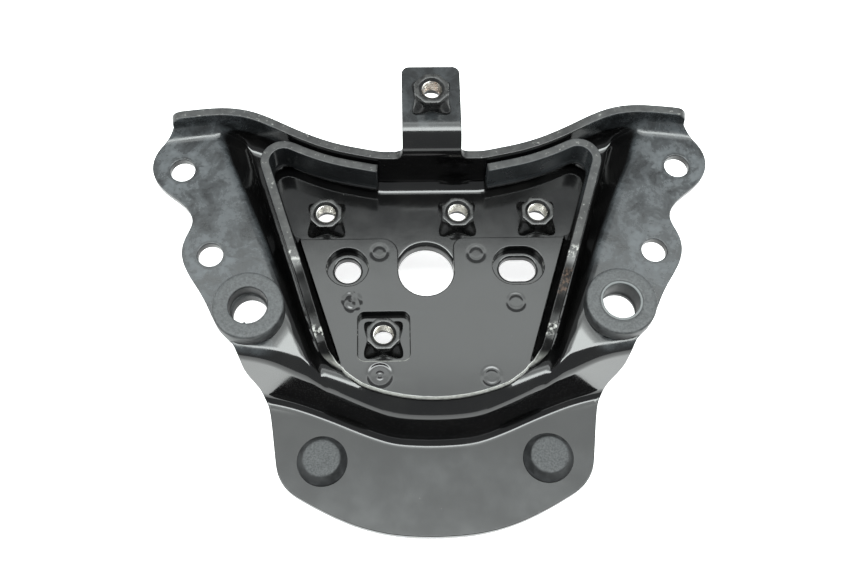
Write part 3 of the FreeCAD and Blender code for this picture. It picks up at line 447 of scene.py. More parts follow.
def make(name, V, F, NN=None, attrs=None, smooth=True):
    me = bpy.data.meshes.new(name)
    me.from_pydata([tuple(p) for p in to_frame(V)], [], [tuple(int(i) for i in f) for f in F])
    me.validate(clean_customdata=False)
    if smooth:
        me.polygons.foreach_set("use_smooth", [True] * len(me.polygons))
    for k, val in (attrs or {}).items():
        a = me.attributes.new(k, "FLOAT", "POINT")
        a.data.foreach_set("value", np.asarray(val, np.float32))
    if NN is not None:
        l = np.maximum(np.linalg.norm(NN, axis=1), 1e-9)[:, None]
        me.normals_split_custom_set_from_vertices([tuple(v) for v in NN / l])
    me.update()
    ob = bpy.data.objects.new(name, me)
    bpy.context.scene.collection.objects.link(ob)
    return ob


# ------------------------------------------------------------------ the pressed sheet
half_ear = [(-75.9, 45.6), (-78.7, 41.6), (-80.0, 36.2), (-78.4, 31.4), (-74.0, 26.9), (-69.3, 22.7),
            (-67.5, 18.6), (-68.9, 13.9), (-69.8, 9.2), (-68.9, 5.2), (-66.1, 0.2), (-62.9, -5.0), (-60.9, -9.1),
            (-58.8, -13.0), (-56.2, -16.2), (-54.4, -18.3)]
wall_end = [(-53.3, 6.1), (-52.9, 4.6), (-52.8, 3.0), (-52.65, 0.5), (-52.4, -2.0), (-52.0, -4.1), (-51.45, -6.4),
            (-50.75, -8.6), (-50.0, -11.0), (-49.4, -13.3), (-49.0, -15.8)]
half_lip = [(-48.5, -25.6), (-47.4, -27.6), (-46.5, -31.5), (-45.7, -37.0), (-44.9, -43.0),
            (-43.9, -47.8), (-41.3, -51.8), (-36.8, -55.0), (-32.1, -57.6), (-22.2, -62.1), (-12.0, -64.7), (0.0, -65.5)]


def sheet_outline():
    ends = [(-74.4, 10.3), (-74.4, 8.7)]
    key = [(-74.4, float(v_of_flange_z(-74.4, 11.2)))]
    ear = np.array([(-74.5, 47.2)] + half_ear)
    ear = np.c_[ear[:, 0], v_of_y(ear[:, 0], ear[:, 1])]
    we = np.array(wall_end)
    we = np.c_[we[:, 0], v_of_wall_z(we[:, 0], we[:, 1])]
    lip = np.array(half_lip)
    lip = np.c_[lip[:, 0], v_of_y(lip[:, 0], lip[:, 1])]
    left = np.vstack([ear, we, lip])
    whole = np.vstack([left, np.c_[-left[:-1, 0], left[:-1, 1]][::-1]])
    around = through(whole, 0.7)
    # right end of the flange upwards, its corner, along the top to the tab and round it, and back down on the left
    cx, cz, r = 74.4 - 3.2, TOP - 3.2, 3.2
    up = [(74.4, 10.6)]
    a = np.radians(np.linspace(0, 90, 9))
    up += [(cx + r * math.cos(t), cz + r * math.sin(t)) for t in a]
    up += [(x, TOP) for x in np.arange(70.5, 10.6, -0.8)]
    up += [(10.7, TOP)] + [(10.7 - 2.4 * math.sin(t), TOP + 2.4 - 2.4 * math.cos(t))
                           for t in np.radians(np.linspace(12, 90, 7))]
    up = np.array(up)
    zz = up[:, 1]
    on_bend = START["tab_bend"][0] + START["tab_bend"][1] * (1 - np.arcsin(np.clip((zz - TAB_Z + TAB_R) / TAB_R, 0, 1)) * 2 / math.pi)
    up = np.c_[up[:, 0], np.where(zz > TAB_Z - TAB_R, on_bend, v_of_flange_z(up[:, 0], zz))]
    tb = START["tab"][0]
    v_a = up[-1, 1]
    side = np.c_[np.full(40, 8.3), np.linspace(v_a - 0.6, tb + 2.2 + 0.5, 40)]
    corner = np.array([(8.3 - 2.2 + 2.2 * math.cos(t), tb + 2.2 - 2.2 * math.sin(t))
                       for t in np.radians(np.linspace(0, 90, 9))])
    end = np.c_[np.arange(5.5, 0.3, -0.65), np.full(8, tb)]
    right = np.vstack([up, side, corner, end])
    back = np.vstack([right, [[0.0, tb]], np.c_[-right[:, 0], right[:, 1]][::-1]])
    return np.vstack([around, back])


def hole(x, y, r, n=40, reach=0.0):
    a = np.linspace(0, 2 * math.pi, n, endpoint=False)
    px = x + r * np.cos(a) + np.where(np.cos(a) >= 0, reach / 2, -reach / 2)
    py = y + r * np.sin(a)
    return np.c_[px, v_of_y(px, py)]


HOLES = [(-71.3, 35.0, 3.5, 0.35), (71.3, 35.0, 3.5, 0.35), (-61.8, 8.05, 3.5, 0.35), (61.8, 8.05, 3.5, 0.35),
         (-50.1, -9.1, 7.5, 0.3), (50.1, -9.1, 7.5, 0.3), (-31.7, -44.1, 3.0, 0.3), (31.7, -44.1, 3.0, 0.3),
         (-24.1, 6.2, 3.7, 0.7), (-30.3, 22.1, 3.3, 0.3), (7.4, 22.1, 3.3, 0.3), (30.3, 22.1, 3.3, 0.3),
         (-14.1, -15.0, 3.3, 0.3), (0.0, 49.0, 3.3, 0.3)]
CABLE = (-2.0, 6.0, 8.0)
SLOT = (24.1, 6.2, 3.7, 3.1)


def build_sheet():
    outer = sheet_outline()
    loops, clear = [outer], [0.75]
    for x, y, r, e in HOLES:
        if y == 49.0:
            a = np.linspace(0, 2 * math.pi, 40, endpoint=False)
            loops.append(np.c_[r * np.cos(a), START["tab"][0] + (TAB_END - y) + r * np.sin(a)])
        else:
            loops.append(hole(x, y, r))
        clear.append(e + 0.5)
    loops.append(hole(*CABLE, n=84))
    clear.append(2.2)
    loops.append(hole(SLOT[0], SLOT[1], SLOT[2], 56, SLOT[3]))
    clear.append(1.3)
    pts = []
    fine_v = []
    for key, size in STRETCH:
        a, b = START[key]
        n = {"tab": 14, "tab_bend": 22, "flange": 12, "bend": 14, "floor": 84, "brow": 12, "wall": 16, "foot": 9,
             "lip": 26}[key]
        fine_v += list(a + b * (np.arange(n) + 0.5) / n)
    fine_v = np.array(fine_v)
    xs = np.arange(-80.5, 80.6, 0.8)
    for k, v in enumerate(fine_v):
        off = 0.4 if k % 2 else 0.0
        x = xs + off
        pts.append(np.c_[x, np.full(len(x), v)])
    # closer points along the side slopes
    v0, vl = START["floor"]
    for v in v0 + vl * (np.arange(130) + 0.25) / 130:
        y = sheet_point(np.array([40.0]), np.array([v]))[0, 1]
        for q in np.arange(-0.2, 9.5, 0.42):
            x = wall_line(y, 1.8) + q * TILT
            pts.append([[x, v], [-x, v]])
    pts = np.vstack(pts)
    keep = inside_loops(pts, loops)
    pts = pts[keep]
    for lp, c in zip(loops, clear):
        pts = pts[away_from(pts, lp, c)]
    # thin out near-doubles
    key = np.round(pts / 0.3).astype(int)
    _, first = np.unique(key, axis=0, return_index=True)
    pts = pts[np.sort(first)]
    par, tri = triangulate(loops, pts)

    def rim_of(q, p):
        e = np.full(len(q), 0.32)
        deep = np.full(len(q), T)
        er = np.full(len(q), 0.25)
        d = np.hypot(p[:, 0] - CABLE[0], p[:, 1] - CABLE[1])
        m = (d < 8.6) & (p[:, 2] > -1)
        e[m], deep[m], er[m] = 1.45, T + 1.4, 0.3
        for hx, hy, hr, he in HOLES:
            m = np.hypot(p[:, 0] - hx, p[:, 1] - hy) < hr + 0.4
            e[m] = he
        m = (np.abs(p[:, 0] - SLOT[0]) < 6) & (np.abs(p[:, 1] - SLOT[1]) < 4.2)
        e[m] = 0.7
        return e, deep, er

    def corner_rise(q, p):
        # beside the pan's front corners the floor rises slightly before it turns down
        ax = np.abs(p[:, 0])
        d = (0.658 * (ax - 34.0) - 0.752 * (p[:, 1] + 16.5))
        k = np.clip((38.0 - ax) / 5.0, 0, 1)
        out = p.copy()
        m = (q[:, 1] > START["floor"][0]) & (p[:, 2] > -8.0) & (p[:, 2] < 6.0)
        out[:, 2] += np.where(m, 0.16 * np.clip(d, 0, 4.5) * k * k * (3 - 2 * k) * np.clip((p[:, 2] + 8.0) / 7.0, 0, 1), 0.0)
        return out

    return sheet_mesh("bracket_sheet", par, tri, sheet_point, 0.12, rim_of, corner_rise)


sheet = build_sheet()
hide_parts("tray_rear_left", "tray_rear_middle", "tray_rear_right", "tray_band", "tray_left", "tray_middle",
            "tray_right", "left_ear", "right_ear", "front_lip", "rear_flange")
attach(sheet, "root")

# ------------------------------------------------------------------ inner pan
PAN_R = 1.9                       # inside radius of its bend
BEND = PAN_R * math.pi / 2
PAN_TOP = 12.0
UNIT_D = np.array([TAPER, 1.0]) / TILT
UNIT_E = np.array([1.0, -TAPER]) / TILT
CORNER_R = 6.5 - T
GAP = 0.5


def inner_corner():
    lo, hi = 10.0, 60.0
    for _ in range(60):
        y = (lo + hi) / 2
        x = wall_line(y, -T / 2 - CORNER_R)
        if flange_face(np.array(x), GAP + T + CORNER_R) > y:
            lo = y
        else:
            hi = y
    return np.array([wall_line(y, -T / 2 - CORNER_R), y])


PC = inner_corner()
A0 = math.atan2(-TAPER, 1.0)
A1 = math.atan(float(slope_of(flange_mid, PC[0]))) + math.pi / 2
L_START = -40.0
LINE0 = np.array([wall_line(L_START, -T / 2), L_START])       # inner face of the wall, at y = -40
S_CORNER = float((PC + CORNER_R * np.array([math.cos(A0), math.sin(A0)]) - LINE0) @ UNIT_D)
S_BACK = S_CORNER + CORNER_R * (A1 - A0)
bx0 = PC[0] + CORNER_R * math.cos(A1)
_bx = np.linspace(bx0, 10.0, 400)
_by = flange_face(_bx, GAP + T)
_bl = np.r_[0, np.cumsum(np.hypot(np.diff(_bx), np.diff(_by)))]


def wall_path(s):
    """inner face of the right wall in plan: point and outward direction, by distance along it"""
    s = np.asarray(s, float)
    p = LINE0 + s[:, None] * UNIT_D
    e = np.tile(UNIT_E, (len(s), 1))
    m = s > S_CORNER
    a = A0 + (np.minimum(s, S_BACK) - S_CORNER) / CORNER_R
    p[m] = (PC + CORNER_R * np.c_[np.cos(a), np.sin(a)])[m]
    e[m] = np.c_[np.cos(a), np.sin(a)][m]
    m = s > S_BACK
    if m.any():
        d = s[m] - S_BACK
        x = np.interp(d, _bl, _bx)
        y = np.interp(d, _bl, _by)
        dy = slope_of(flange_mid, x)
        p[m] = np.c_[x, y]
        nn = np.c_[-dy, np.ones(len(x))]
        e[m] = nn / np.linalg.norm(nn, axis=1)[:, None]
    return p, e


# the flat blank: x and y of the floor, folded up along the two bend lines
BL0 = np.array([wall_line(L_START, -T / 2 - PAN_R), L_START])


def blank(s, out):
    """blank place of a wall point: distance along the right wall and distance across from the start of the bend"""
    s, out = np.asarray(s, float), np.asarray(out, float)
    return BL0 + s[..., None] * UNIT_D + out[..., None] * UNIT_E


def out_of_z(z):
    z = np.asarray(z, float)
    c = np.arccos(np.clip(1 - (z - T) / PAN_R, 0, 1)) * PAN_R
    return np.where(z > T + PAN_R, BEND + z - T - PAN_R, c)


def pan_point(X, Y):
    X, Y = np.asarray(X, float), np.asarray(Y, float)
    sg = np.where(X < 0, -1.0, 1.0)
    q = np.c_[np.abs(X), Y] - BL0
    s, out = q @ UNIT_D, q @ UNIT_E
    P = np.c_[np.abs(X), Y, np.full(X.shape, T)]
    m = out > 0
    if m.any():
        f, e = wall_path(s[m])
        o = out[m]
        al = np.minimum(o / PAN_R, math.pi / 2)
        hx = PAN_R * np.sin(al) - PAN_R
        z = T + PAN_R * (1 - np.cos(al)) + np.maximum(o - BEND, 0)
        xy = f + e * hx[:, None]
        P[m] = np.c_[xy, z]
    P[:, 0] *= sg
    return P


WELDS = [(-15.1, 10.6, 2.5, 1.4), (12.3, 9.9, 2.6, 1.5), (-22.8, -4.5, 2.9, 1.5), (22.8, -5.1, 2.8, 1.6),
         (-15.1, -26.1, 3.3, 1.7), (15.0, -26.8, 2.8, 1.55)]


def weld_dent(q, p):
    out = p.copy()
    for k, (x, y, ro, ri) in enumerate(WELDS):
        r = np.hypot(q[:, 0] - x, q[:, 1] - y)
        ring = np.exp(-((r - 0.5 * (ro + ri)) / (0.30 * (ro - ri) + 0.12)) ** 2)
        cup = 1 / (1 + np.exp(np.clip((r - ro) / 0.16, -30, 30)))
        dz = -0.085 * ring - 0.04 * cup
        if k == 4:
            dz = -0.26 * cup - 0.04 * ring + 0.08 * np.exp(-((r - 0.9) / 0.35) ** 2)
        if k == 2:
            ang = np.arctan2(q[:, 1] - y, q[:, 0] - x)
            dz = dz * (0.8 + 0.5 * np.sin(3 * ang + 0.8)) - 0.05 * cup * np.sin(2.2 * (q[:, 0] - x) + 1.3 * (q[:, 1] - y))
        out[:, 2] += np.where(p[:, 2] < T + 0.01, dz, 0.0)
    return out


fall_line = Spline([(-21.0, 3.2), (-19.5, 3.85), (-18.0, 4.55), (-16.5, 5.1), (-15.0, 5.45), (-13.0, 5.75), (-11.0, 6.25),
                    (-6.0, 8.0), (0.0, 10.15), (2.0, 10.9), (4.0, 11.5), (6.5, 11.93), (9.0, 12.0)])


def fall_top(y):
    return np.where(np.asarray(y) > 8.9, 12.0, np.minimum(fall_line(np.clip(y, -21.0, 9.0)), 12.0))


def pan_outline():
    def at_gap(x):
        return S_BACK + float(np.interp(-x, -_bx, _bl))

    def s_of_y(y):
        return (y - L_START) * TILT - 0.0

    def wing(gap_x, r_notch, notch_x):
        """right-hand half: from the front's middle, up the wall's edge, round to the gap, back along the lower edge"""
        pts = []
        # front arc through (0,-32.8) and (24.2,-26.6)
        h = 6.2
        R = (24.2 ** 2 + h * h) / (2 * h)
        for x in np.linspace(0, 19.4, 27):
            pts.append((x, -32.8 + R - math.sqrt(R * R - x * x)))
        # turning up at the corner
        turn = [pts[-3], pts[-2], pts[-1], (22.3, -27.05), (24.5, -25.3)]
        turn += [tuple(blank(s_of_y(y), np.array(o))) for y, o in ((-23.9, 0.45), (-22.6, 1.05))]
        turn += [tuple(blank(s_of_y(y), out_of_z(fall_top(y)))) for y in (-21.0, -19.6, -18.2)]
        more = through(turn, 0.5)
        stop = blank(s_of_y(-19.6), out_of_z(fall_top(-19.6)))
        keep = (more[:, 1] > pts[-1][1] + 0.2) & (more[:, 1] < stop[1] + 0.01)
        pts += [tuple(p) for p in more[keep]]
        for y in np.arange(-19.0, 7.8, 0.6):
            pts.append(tuple(blank(s_of_y(y), out_of_z(fall_top(y)))))
        s_end = at_gap(gap_x)
        for s in np.arange(s_of_y(8.2), s_end - 0.4, 0.7):
            pts.append(tuple(blank(s, out_of_z(PAN_TOP))))
        for z in np.linspace(PAN_TOP, 3.0, 14):
            pts.append(tuple(blank(s_end, out_of_z(z))))
        s15 = s_of_y(15.0)
        lows = np.arange(s_end - 0.7, s15 + 2.4, -0.7)
        for s in lows:
            pts.append(tuple(blank(s, out_of_z(3.0))))
        o_low = float(out_of_z(3.0))
        for t in np.radians(np.linspace(10, 90, 6)):
            pts.append(tuple(blank(s15 + 2.0 * (1 - math.sin(t)) + 0.0, o_low + 0.0 - 2.0 * (1 - math.cos(t)) * 0.6)))
        x_end = pts[-1][0]
        xs = np.arange(x_end - 0.7, notch_x + 7.8 + r_notch + 0.2, -0.7)
        for x in xs:
            pts.append((x, 15.0))
        return pts

    right = wing(16.2, 3.0, -2.0)
    left = [(-x, y) for x, y in wing(15.6, 4.6, 2.0)]
    cx, cy, cr = -2.0, 4.9, 7.8
    notch = []
    for t in np.radians(np.linspace(90, 180, 9)):
        notch.append((cx + cr + 3.0 + 3.0 * math.cos(t), 15.0 - 3.0 + 3.0 * math.sin(t)))
    for y in np.arange(11.4, cy + 0.1, -0.7):
        notch.append((cx + cr, y))
    for t in np.radians(np.linspace(0, -180, 40)):
        notch.append((cx + cr * math.cos(t), cy + cr * math.sin(t)))
    for y in np.arange(cy + 0.7, 15.0 - 4.6, 0.7):
        notch.append((cx - cr, y))
    for t in np.radians(np.linspace(0, 90, 10)):
        notch.append((cx - cr - 4.6 + 4.6 * math.cos(t), 15.0 - 4.6 + 4.6 * math.sin(t)))
    return np.array(right + notch + left[:0:-1])


def ring2(x, y, r, n, reach=0.0):
    a = np.linspace(0, 2 * math.pi, n, endpoint=False)
    return np.c_[x + r * np.cos(a) + np.where(np.cos(a) >= 0, reach / 2, -reach / 2), y + r * np.sin(a)]


def window2(x, y, h, c):
    out = []
    for (sx, sy), a0 in (((1, 1), 0), ((-1, 1), 90), ((-1, -1), 180), ((1, -1), 270)):
        for t in np.radians(np.linspace(a0, a0 + 90, 8)):
            out.append((x + sx * (h - c) + c * math.cos(t), y + sy * (h - c) + c * math.sin(t)))
        nx = out[-1]
        dirs = {0: (-1, 0), 90: (0, -1), 180: (1, 0), 270: (0, 1)}[a0]
        for k in range(1, 12):
            out.append((nx[0] + dirs[0] * 2 * (h - c) * k / 12, nx[1] + dirs[1] * 2 * (h - c) * k / 12))
    return np.array(out)


def pan_rim(q, p):
    # the front edge is rolled over more than the rest
    e = 0.33 + 0.3 * np.clip((-22.0 - p[:, 1]) / 3.0, 0, 1)
    return e, np.full(len(q), T), np.full(len(q), 0.3)


def build_pan():
    outer = pan_outline()
    loops = [outer, ring2(-24.1, 6.2, 5.8, 56), ring2(24.1, 6.2, 5.8, 64, 2.9), window2(-14.0, -14.75, 7.1, 2.0)]
    lo, hi = outer.min(0), outer.max(0)
    g = []
    for k, y in enumerate(np.arange(lo[1], hi[1], 0.9)):
        x = np.arange(lo[0], hi[0], 1.0) + (0.5 if k % 2 else 0.0)
        g.append(np.c_[x, np.full(len(x), y)])
    fold = []
    for k, o in enumerate(np.r_[-0.3, np.linspace(0.0, BEND, 11), np.arange(BEND + 0.45, 11.0, 0.6)]):
        for q in np.arange(0.0, S_BACK + 40, 0.46) + (0.23 if k % 2 else 0.0):
            b = blank(q, o)
            fold += [[b[0], b[1]], [-b[0], b[1]]]
    fold = np.array(fold)
    a = np.linspace(0, 2 * math.pi, 40, endpoint=False)
    for x, y, ro, ri in WELDS:
        for r in np.arange(0.15, ro + 1.0, 0.22):
            m = max(6, int(2 * math.pi * r / 0.3))
            a = np.linspace(0, 2 * math.pi, m, endpoint=False) + r
            g.append(np.c_[x + r * np.cos(a), y + r * np.sin(a)])
    pts = np.vstack(g)
    # only the weld points stay near a weld
    n_weld = sum(max(6, int(2 * math.pi * r / 0.3)) for w in WELDS for r in np.arange(0.15, w[2] + 1.0, 0.22))
    grid, weld = pts[:-n_weld], pts[-n_weld:]
    for x, y, ro, ri in WELDS:
        grid = grid[np.hypot(grid[:, 0] - x, grid[:, 1] - y) > ro + 1.1]
    grid = grid[(np.c_[np.abs(grid[:, 0]), grid[:, 1]] - BL0) @ UNIT_E < -0.75]
    pts = np.vstack([grid, fold, weld])
    pts = pts[inside_loops(pts, loops)]
    for lp in loops:
        pts = pts[away_from(pts, lp, 0.62)]
    pts = pts[(pts[:, 1] > -23.0) | away_from(pts, outer, 0.95)]
    par, tri = triangulate(loops, pts)
    return sheet_mesh("inner_pan_sheet", par, tri, pan_point, 0.06, pan_rim, weld_dent)


pan = build_pan()
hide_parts("pan_left_wall", "pan_right_wall", "pan_left_floor", "pan_middle_floor", "pan_right_floor")
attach(pan, "root")


# ------------------------------------------------------------------ turned and ringed pieces
def ringed(name, rows, n, closed_ends=(False, False), centre=(0, 0, 0), attrs=None):
    """rows of (radius function of angle, height function of angle, tag); neighbours are joined by quads"""
    th = np.linspace(0, 2 * math.pi, n, endpoint=False)
    V, tags = [], []
    for r, z, tag in rows:
        rr = r(th) if callable(r) else np.full(n, float(r))
        zz = z(th) if callable(z) else np.full(n, float(z))
        V.append(np.c_[centre[0] + rr * np.cos(th), centre[1] + rr * np.sin(th), centre[2] + zz])
        tags += [tag] * n
    F = []
    m = len(rows)
    for k in range(m - 1):
        for i in range(n):
            j = (i + 1) % n
            F.append((k * n + i, k * n + j, (k + 1) * n + j, (k + 1) * n + i))
    V = np.vstack(V)
    if closed_ends[0]:
        F.append(tuple(range(n - 1, -1, -1)))
    if closed_ends[1]:
        F.append(tuple((m - 1) * n + i for i in range(n)))
    else:
        for i in range(n):
            j = (i + 1) % n
            if not closed_ends[0]:
                F.append(((m - 1) * n + i, (m - 1) * n + j, j, i))
    return V, F, np.array(tags, float)


def finish_mesh(name, V, F, tags, angle=32.0):
    ob = make(name, V, F, None, {"zone": tags})
    me = ob.data
    import bmesh
    bm = bmesh.new()
    bm.from_mesh(me)
    bmesh.ops.recalc_face_normals(bm, faces=bm.faces)
    for e in bm.edges:
        if len(e.link_faces) == 2:
            e.smooth = e.calc_face_angle(0) < math.radians(angle)
    bm.to_mesh(me)
    bm.free()
    return ob


def square_round(th, half, scoop, corner):
    """outline of the nut's foot: square with hollow sides and rounded corners"""
    c, s = np.abs(np.cos(th)), np.abs(np.sin(th))
    p = 9.0
    sq = half / ((c ** p + s ** p) ** (1 / p))
    mid = np.abs(np.cos(2 * th)) ** 2.2
    return np.minimum(sq - scoop * mid, half * 1.31)


def octagon(th, flat):
    a = np.mod(th + math.pi / 8, math.pi / 4) - math.pi / 8
    r = flat / np.cos(a)
    return np.minimum(r, flat * 1.062)


def nut(cx, cy, cz, seed, flat=4.5):
    rng = np.random.default_rng(seed)
    n = 96
    tilt = rng.uniform(-0.02, 0.02)

    def foot_r(scale):
        return lambda th: square_round(th, 5.5, 1.0, 1.3) * scale

    def mix_r(k, s=1.0):
        return lambda th: ((1 - k) * square_round(th, 5.5, 1.0, 1.3) + k * octagon(th, flat)) * s

    rows = [(2.62, 0.0, 3), (foot_r(0.985), 0.0, 0), (foot_r(1.0), 0.12, 0), (foot_r(1.0), 0.4, 0),
            (mix_r(0.04), 0.66, 0), (mix_r(0.14), 0.95, 0), (mix_r(0.32), 1.4, 0), (mix_r(0.52), 1.9, 0),
            (mix_r(0.72), 2.35, 0), (mix_r(0.90), 2.75, 0.2), (mix_r(1.0), 3.05, 0.5), (mix_r(1.0), 3.35, 0.8),
            (mix_r(1.0), 4.0, 1), (mix_r(1.0), 4.72, 1), (mix_r(1.0, 0.985), 4.90, 1),
            (mix_r(1.0, 0.95), 4.99, 1.2), (lambda th: octagon(th, flat) * 0.45 + 1.95, 5.0, 1.2),
            (3.66, 4.99, 1.1), (3.54, 4.96, 0.7), (3.44, 4.89, 0), (3.1, 4.58, 0), (2.86, 4.34, 0), (2.8, 4.28, 1.5)]
    z = 4.22
    while z > 0.08:
        ph = z
        rows.append((lambda th, ph=ph: 2.66 + 0.13 * np.sin(2 * math.pi * (ph / 1.0) + th), z, 2))
        z -= 0.14
    rows.append((2.62, 0.04, 3))
    return ringed("nut", rows, n, (False, False), (cx, cy, cz))


parts = []
for k, (x, y, z) in enumerate([(-30.3, 22.1, 0.0), (7.4, 22.1, 0.0), (30.3, 22.1, 0.0), (-14.1, -15.0, 0.0),
                               (0.0, 49.0, 22.2)]):
    parts.append(nut(x, y, z, 11 + k, 4.75 if z > 1 else 4.5))
V = np.vstack([p[0] for p in parts])
F, off = [], 0
for p in parts:
    F += [tuple(i + off for i in f) for f in p[1]]
    off += len(p[0])
nuts = finish_mesh("weld_nut_set", V, F, np.concatenate([p[2] for p in parts]), 30)
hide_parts("weld_nuts")
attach(nuts, "root")


def grommet(name, sx, lip):
    n = 128
    ph = 0.7 if sx > 0 else 2.1

    def wob(r, a=0.03, k=3):
        return lambda th: r + a * np.sin(k * th + ph) + 0.4 * a * np.sin(7 * th + 1.3 * ph)

    def nick(r, z0):
        # small tongue of moulding flash at the near side of the bore
        return lambda th: r - (0.55 if sx < 0 else 0.0) * np.exp(-((np.mod(th - 4.58 + math.pi, 2 * math.pi) - math.pi) / 0.05) ** 2)

    rows = [(wob(5.35), -4.25, 0), (wob(5.6), -4.3, 0), (wob(8.2), -4.3, 0), (wob(8.6), -4.1, 0), (wob(8.7), -3.8, 0),
            (wob(8.7), -2.75, 0), (8.62, -2.61, 0), (7.45, -2.6, 0), (7.45, -0.02, 0), (9.45, 0.0, 0), (wob(9.62), 0.15, 0),
            (wob(9.66), 1.2, 0), (wob(9.68), 2.6, 0), (wob(9.68), 3.9, 0), (wob(9.62), 4.3, 0.3), (wob(9.45), 4.58, 0.6),
            (wob(9.15), 4.74, 1), (wob(8.7), 4.79, 1), (wob(8.0), 4.8, 1), (wob(7.2), 4.78, 1), (wob(6.5), 4.79, 1)]
    if lip:
        rows += [(wob(5.98, 0.02), 4.78, 1), (wob(5.84, 0.02), 4.66, 0.4), (wob(5.74, 0.02), 4.66, 0.4), (wob(5.6, 0.02), 4.78, 2),
                 (wob(5.4, 0.02), 4.8, 2), (wob(5.14, 0.02), 4.74, 2), (wob(5.02, 0.02), 4.55, 1.5), (wob(4.98, 0.02), 4.2, 0),
                 (wob(5.0, 0.02), 2.0, 0), (wob(5.02, 0.02), -0.6, 0), (wob(5.0, 0.02), -1.9, 0), (wob(4.86, 0.02), -2.05, 0.5),
                 (wob(4.86, 0.02), -2.5, 0.5), (wob(5.02, 0.02), -2.7, 0), (wob(5.1), -3.9, 0)]
    else:
        rows += [(wob(5.75), 4.8, 1), (wob(5.5), 4.77, 1), (wob(5.32), 4.66, 0.8), (nick(5.22, 0), 4.42, 0.2), (nick(5.2, 0), 4.1, 0),
                 (wob(5.2), 2.0, 0), (wob(5.22), 0.9, 0), (wob(5.2), 0.4, 0), (wob(4.72), 0.15, 0.9), (wob(4.66), -0.1, 0.9),
                 (wob(4.68), -1.0, 0), (wob(4.75), -3.0, 0), (wob(4.9), -4.0, 0)]
    V, F, tags = ringed(name, rows, n, (False, False), (sx * 50.1, -9.1, 7.5))
    return finish_mesh(name, V, F, tags, 50)


for side, sx in (("left", -1), ("right", 1)):
    g = grommet(side + "_grommet_rubber", sx, sx > 0)
    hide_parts(side + "_grommet")
    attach(g, "root")


def stopper(name, sx):
    n = 112
    ph = 0.4 + sx

    def wob(r, a=0.03, k=2):
        return lambda th: r + a * np.sin(k * th + ph) + 0.5 * a * np.sin(5 * th + 2 * ph)

    def face(z):
        # the right one has a small nick in the upper rim
        return lambda th: z - (0.22 if sx > 0 else 0.0) * np.exp(-((np.mod(th - 5.9 + math.pi, 2 * math.pi) - math.pi) / 0.16) ** 2)

    rows = [(0.05, -4.98, 0), (2.2, -5.0, 0), (2.45, -4.9, 0), (3.2, -4.2, 0), (3.95, -3.5, 0), (4.0, -3.2, 0), (4.0, -2.75, 0),
            (3.9, -2.62, 0), (2.98, -2.6, 0), (2.98, -0.02, 0), (6.9, 0.0, 0), (wob(7.06), 0.12, 0), (wob(7.08), 0.4, 0),
            (wob(7.0), 0.62, 0.2), (wob(6.75), 0.95, 0.2), (wob(6.35), 1.6, 0.2), (wob(5.95), 2.4, 0.2), (wob(5.6), 3.05, 0.3),
            (wob(5.42), 3.4, 0.4), (wob(5.2), face(3.62), 0.7), (wob(4.9), face(3.74), 1), (wob(4.5), face(3.78), 1), (3.6, 3.79, 1),
            (2.4, 3.78, 1), (1.2, 3.77, 1), (0.05, 3.77, 1)]
    V, F, tags = ringed(name, rows, n, (True, True), (sx * 31.7, -44.1, -18.0))
    return finish_mesh(name, V, F, tags, 50)


for side, sx in (("left", -1), ("right", 1)):
    s = stopper(side + "_stopper_rubber", sx)
    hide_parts(side + "_stopper")
    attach(s, "root")


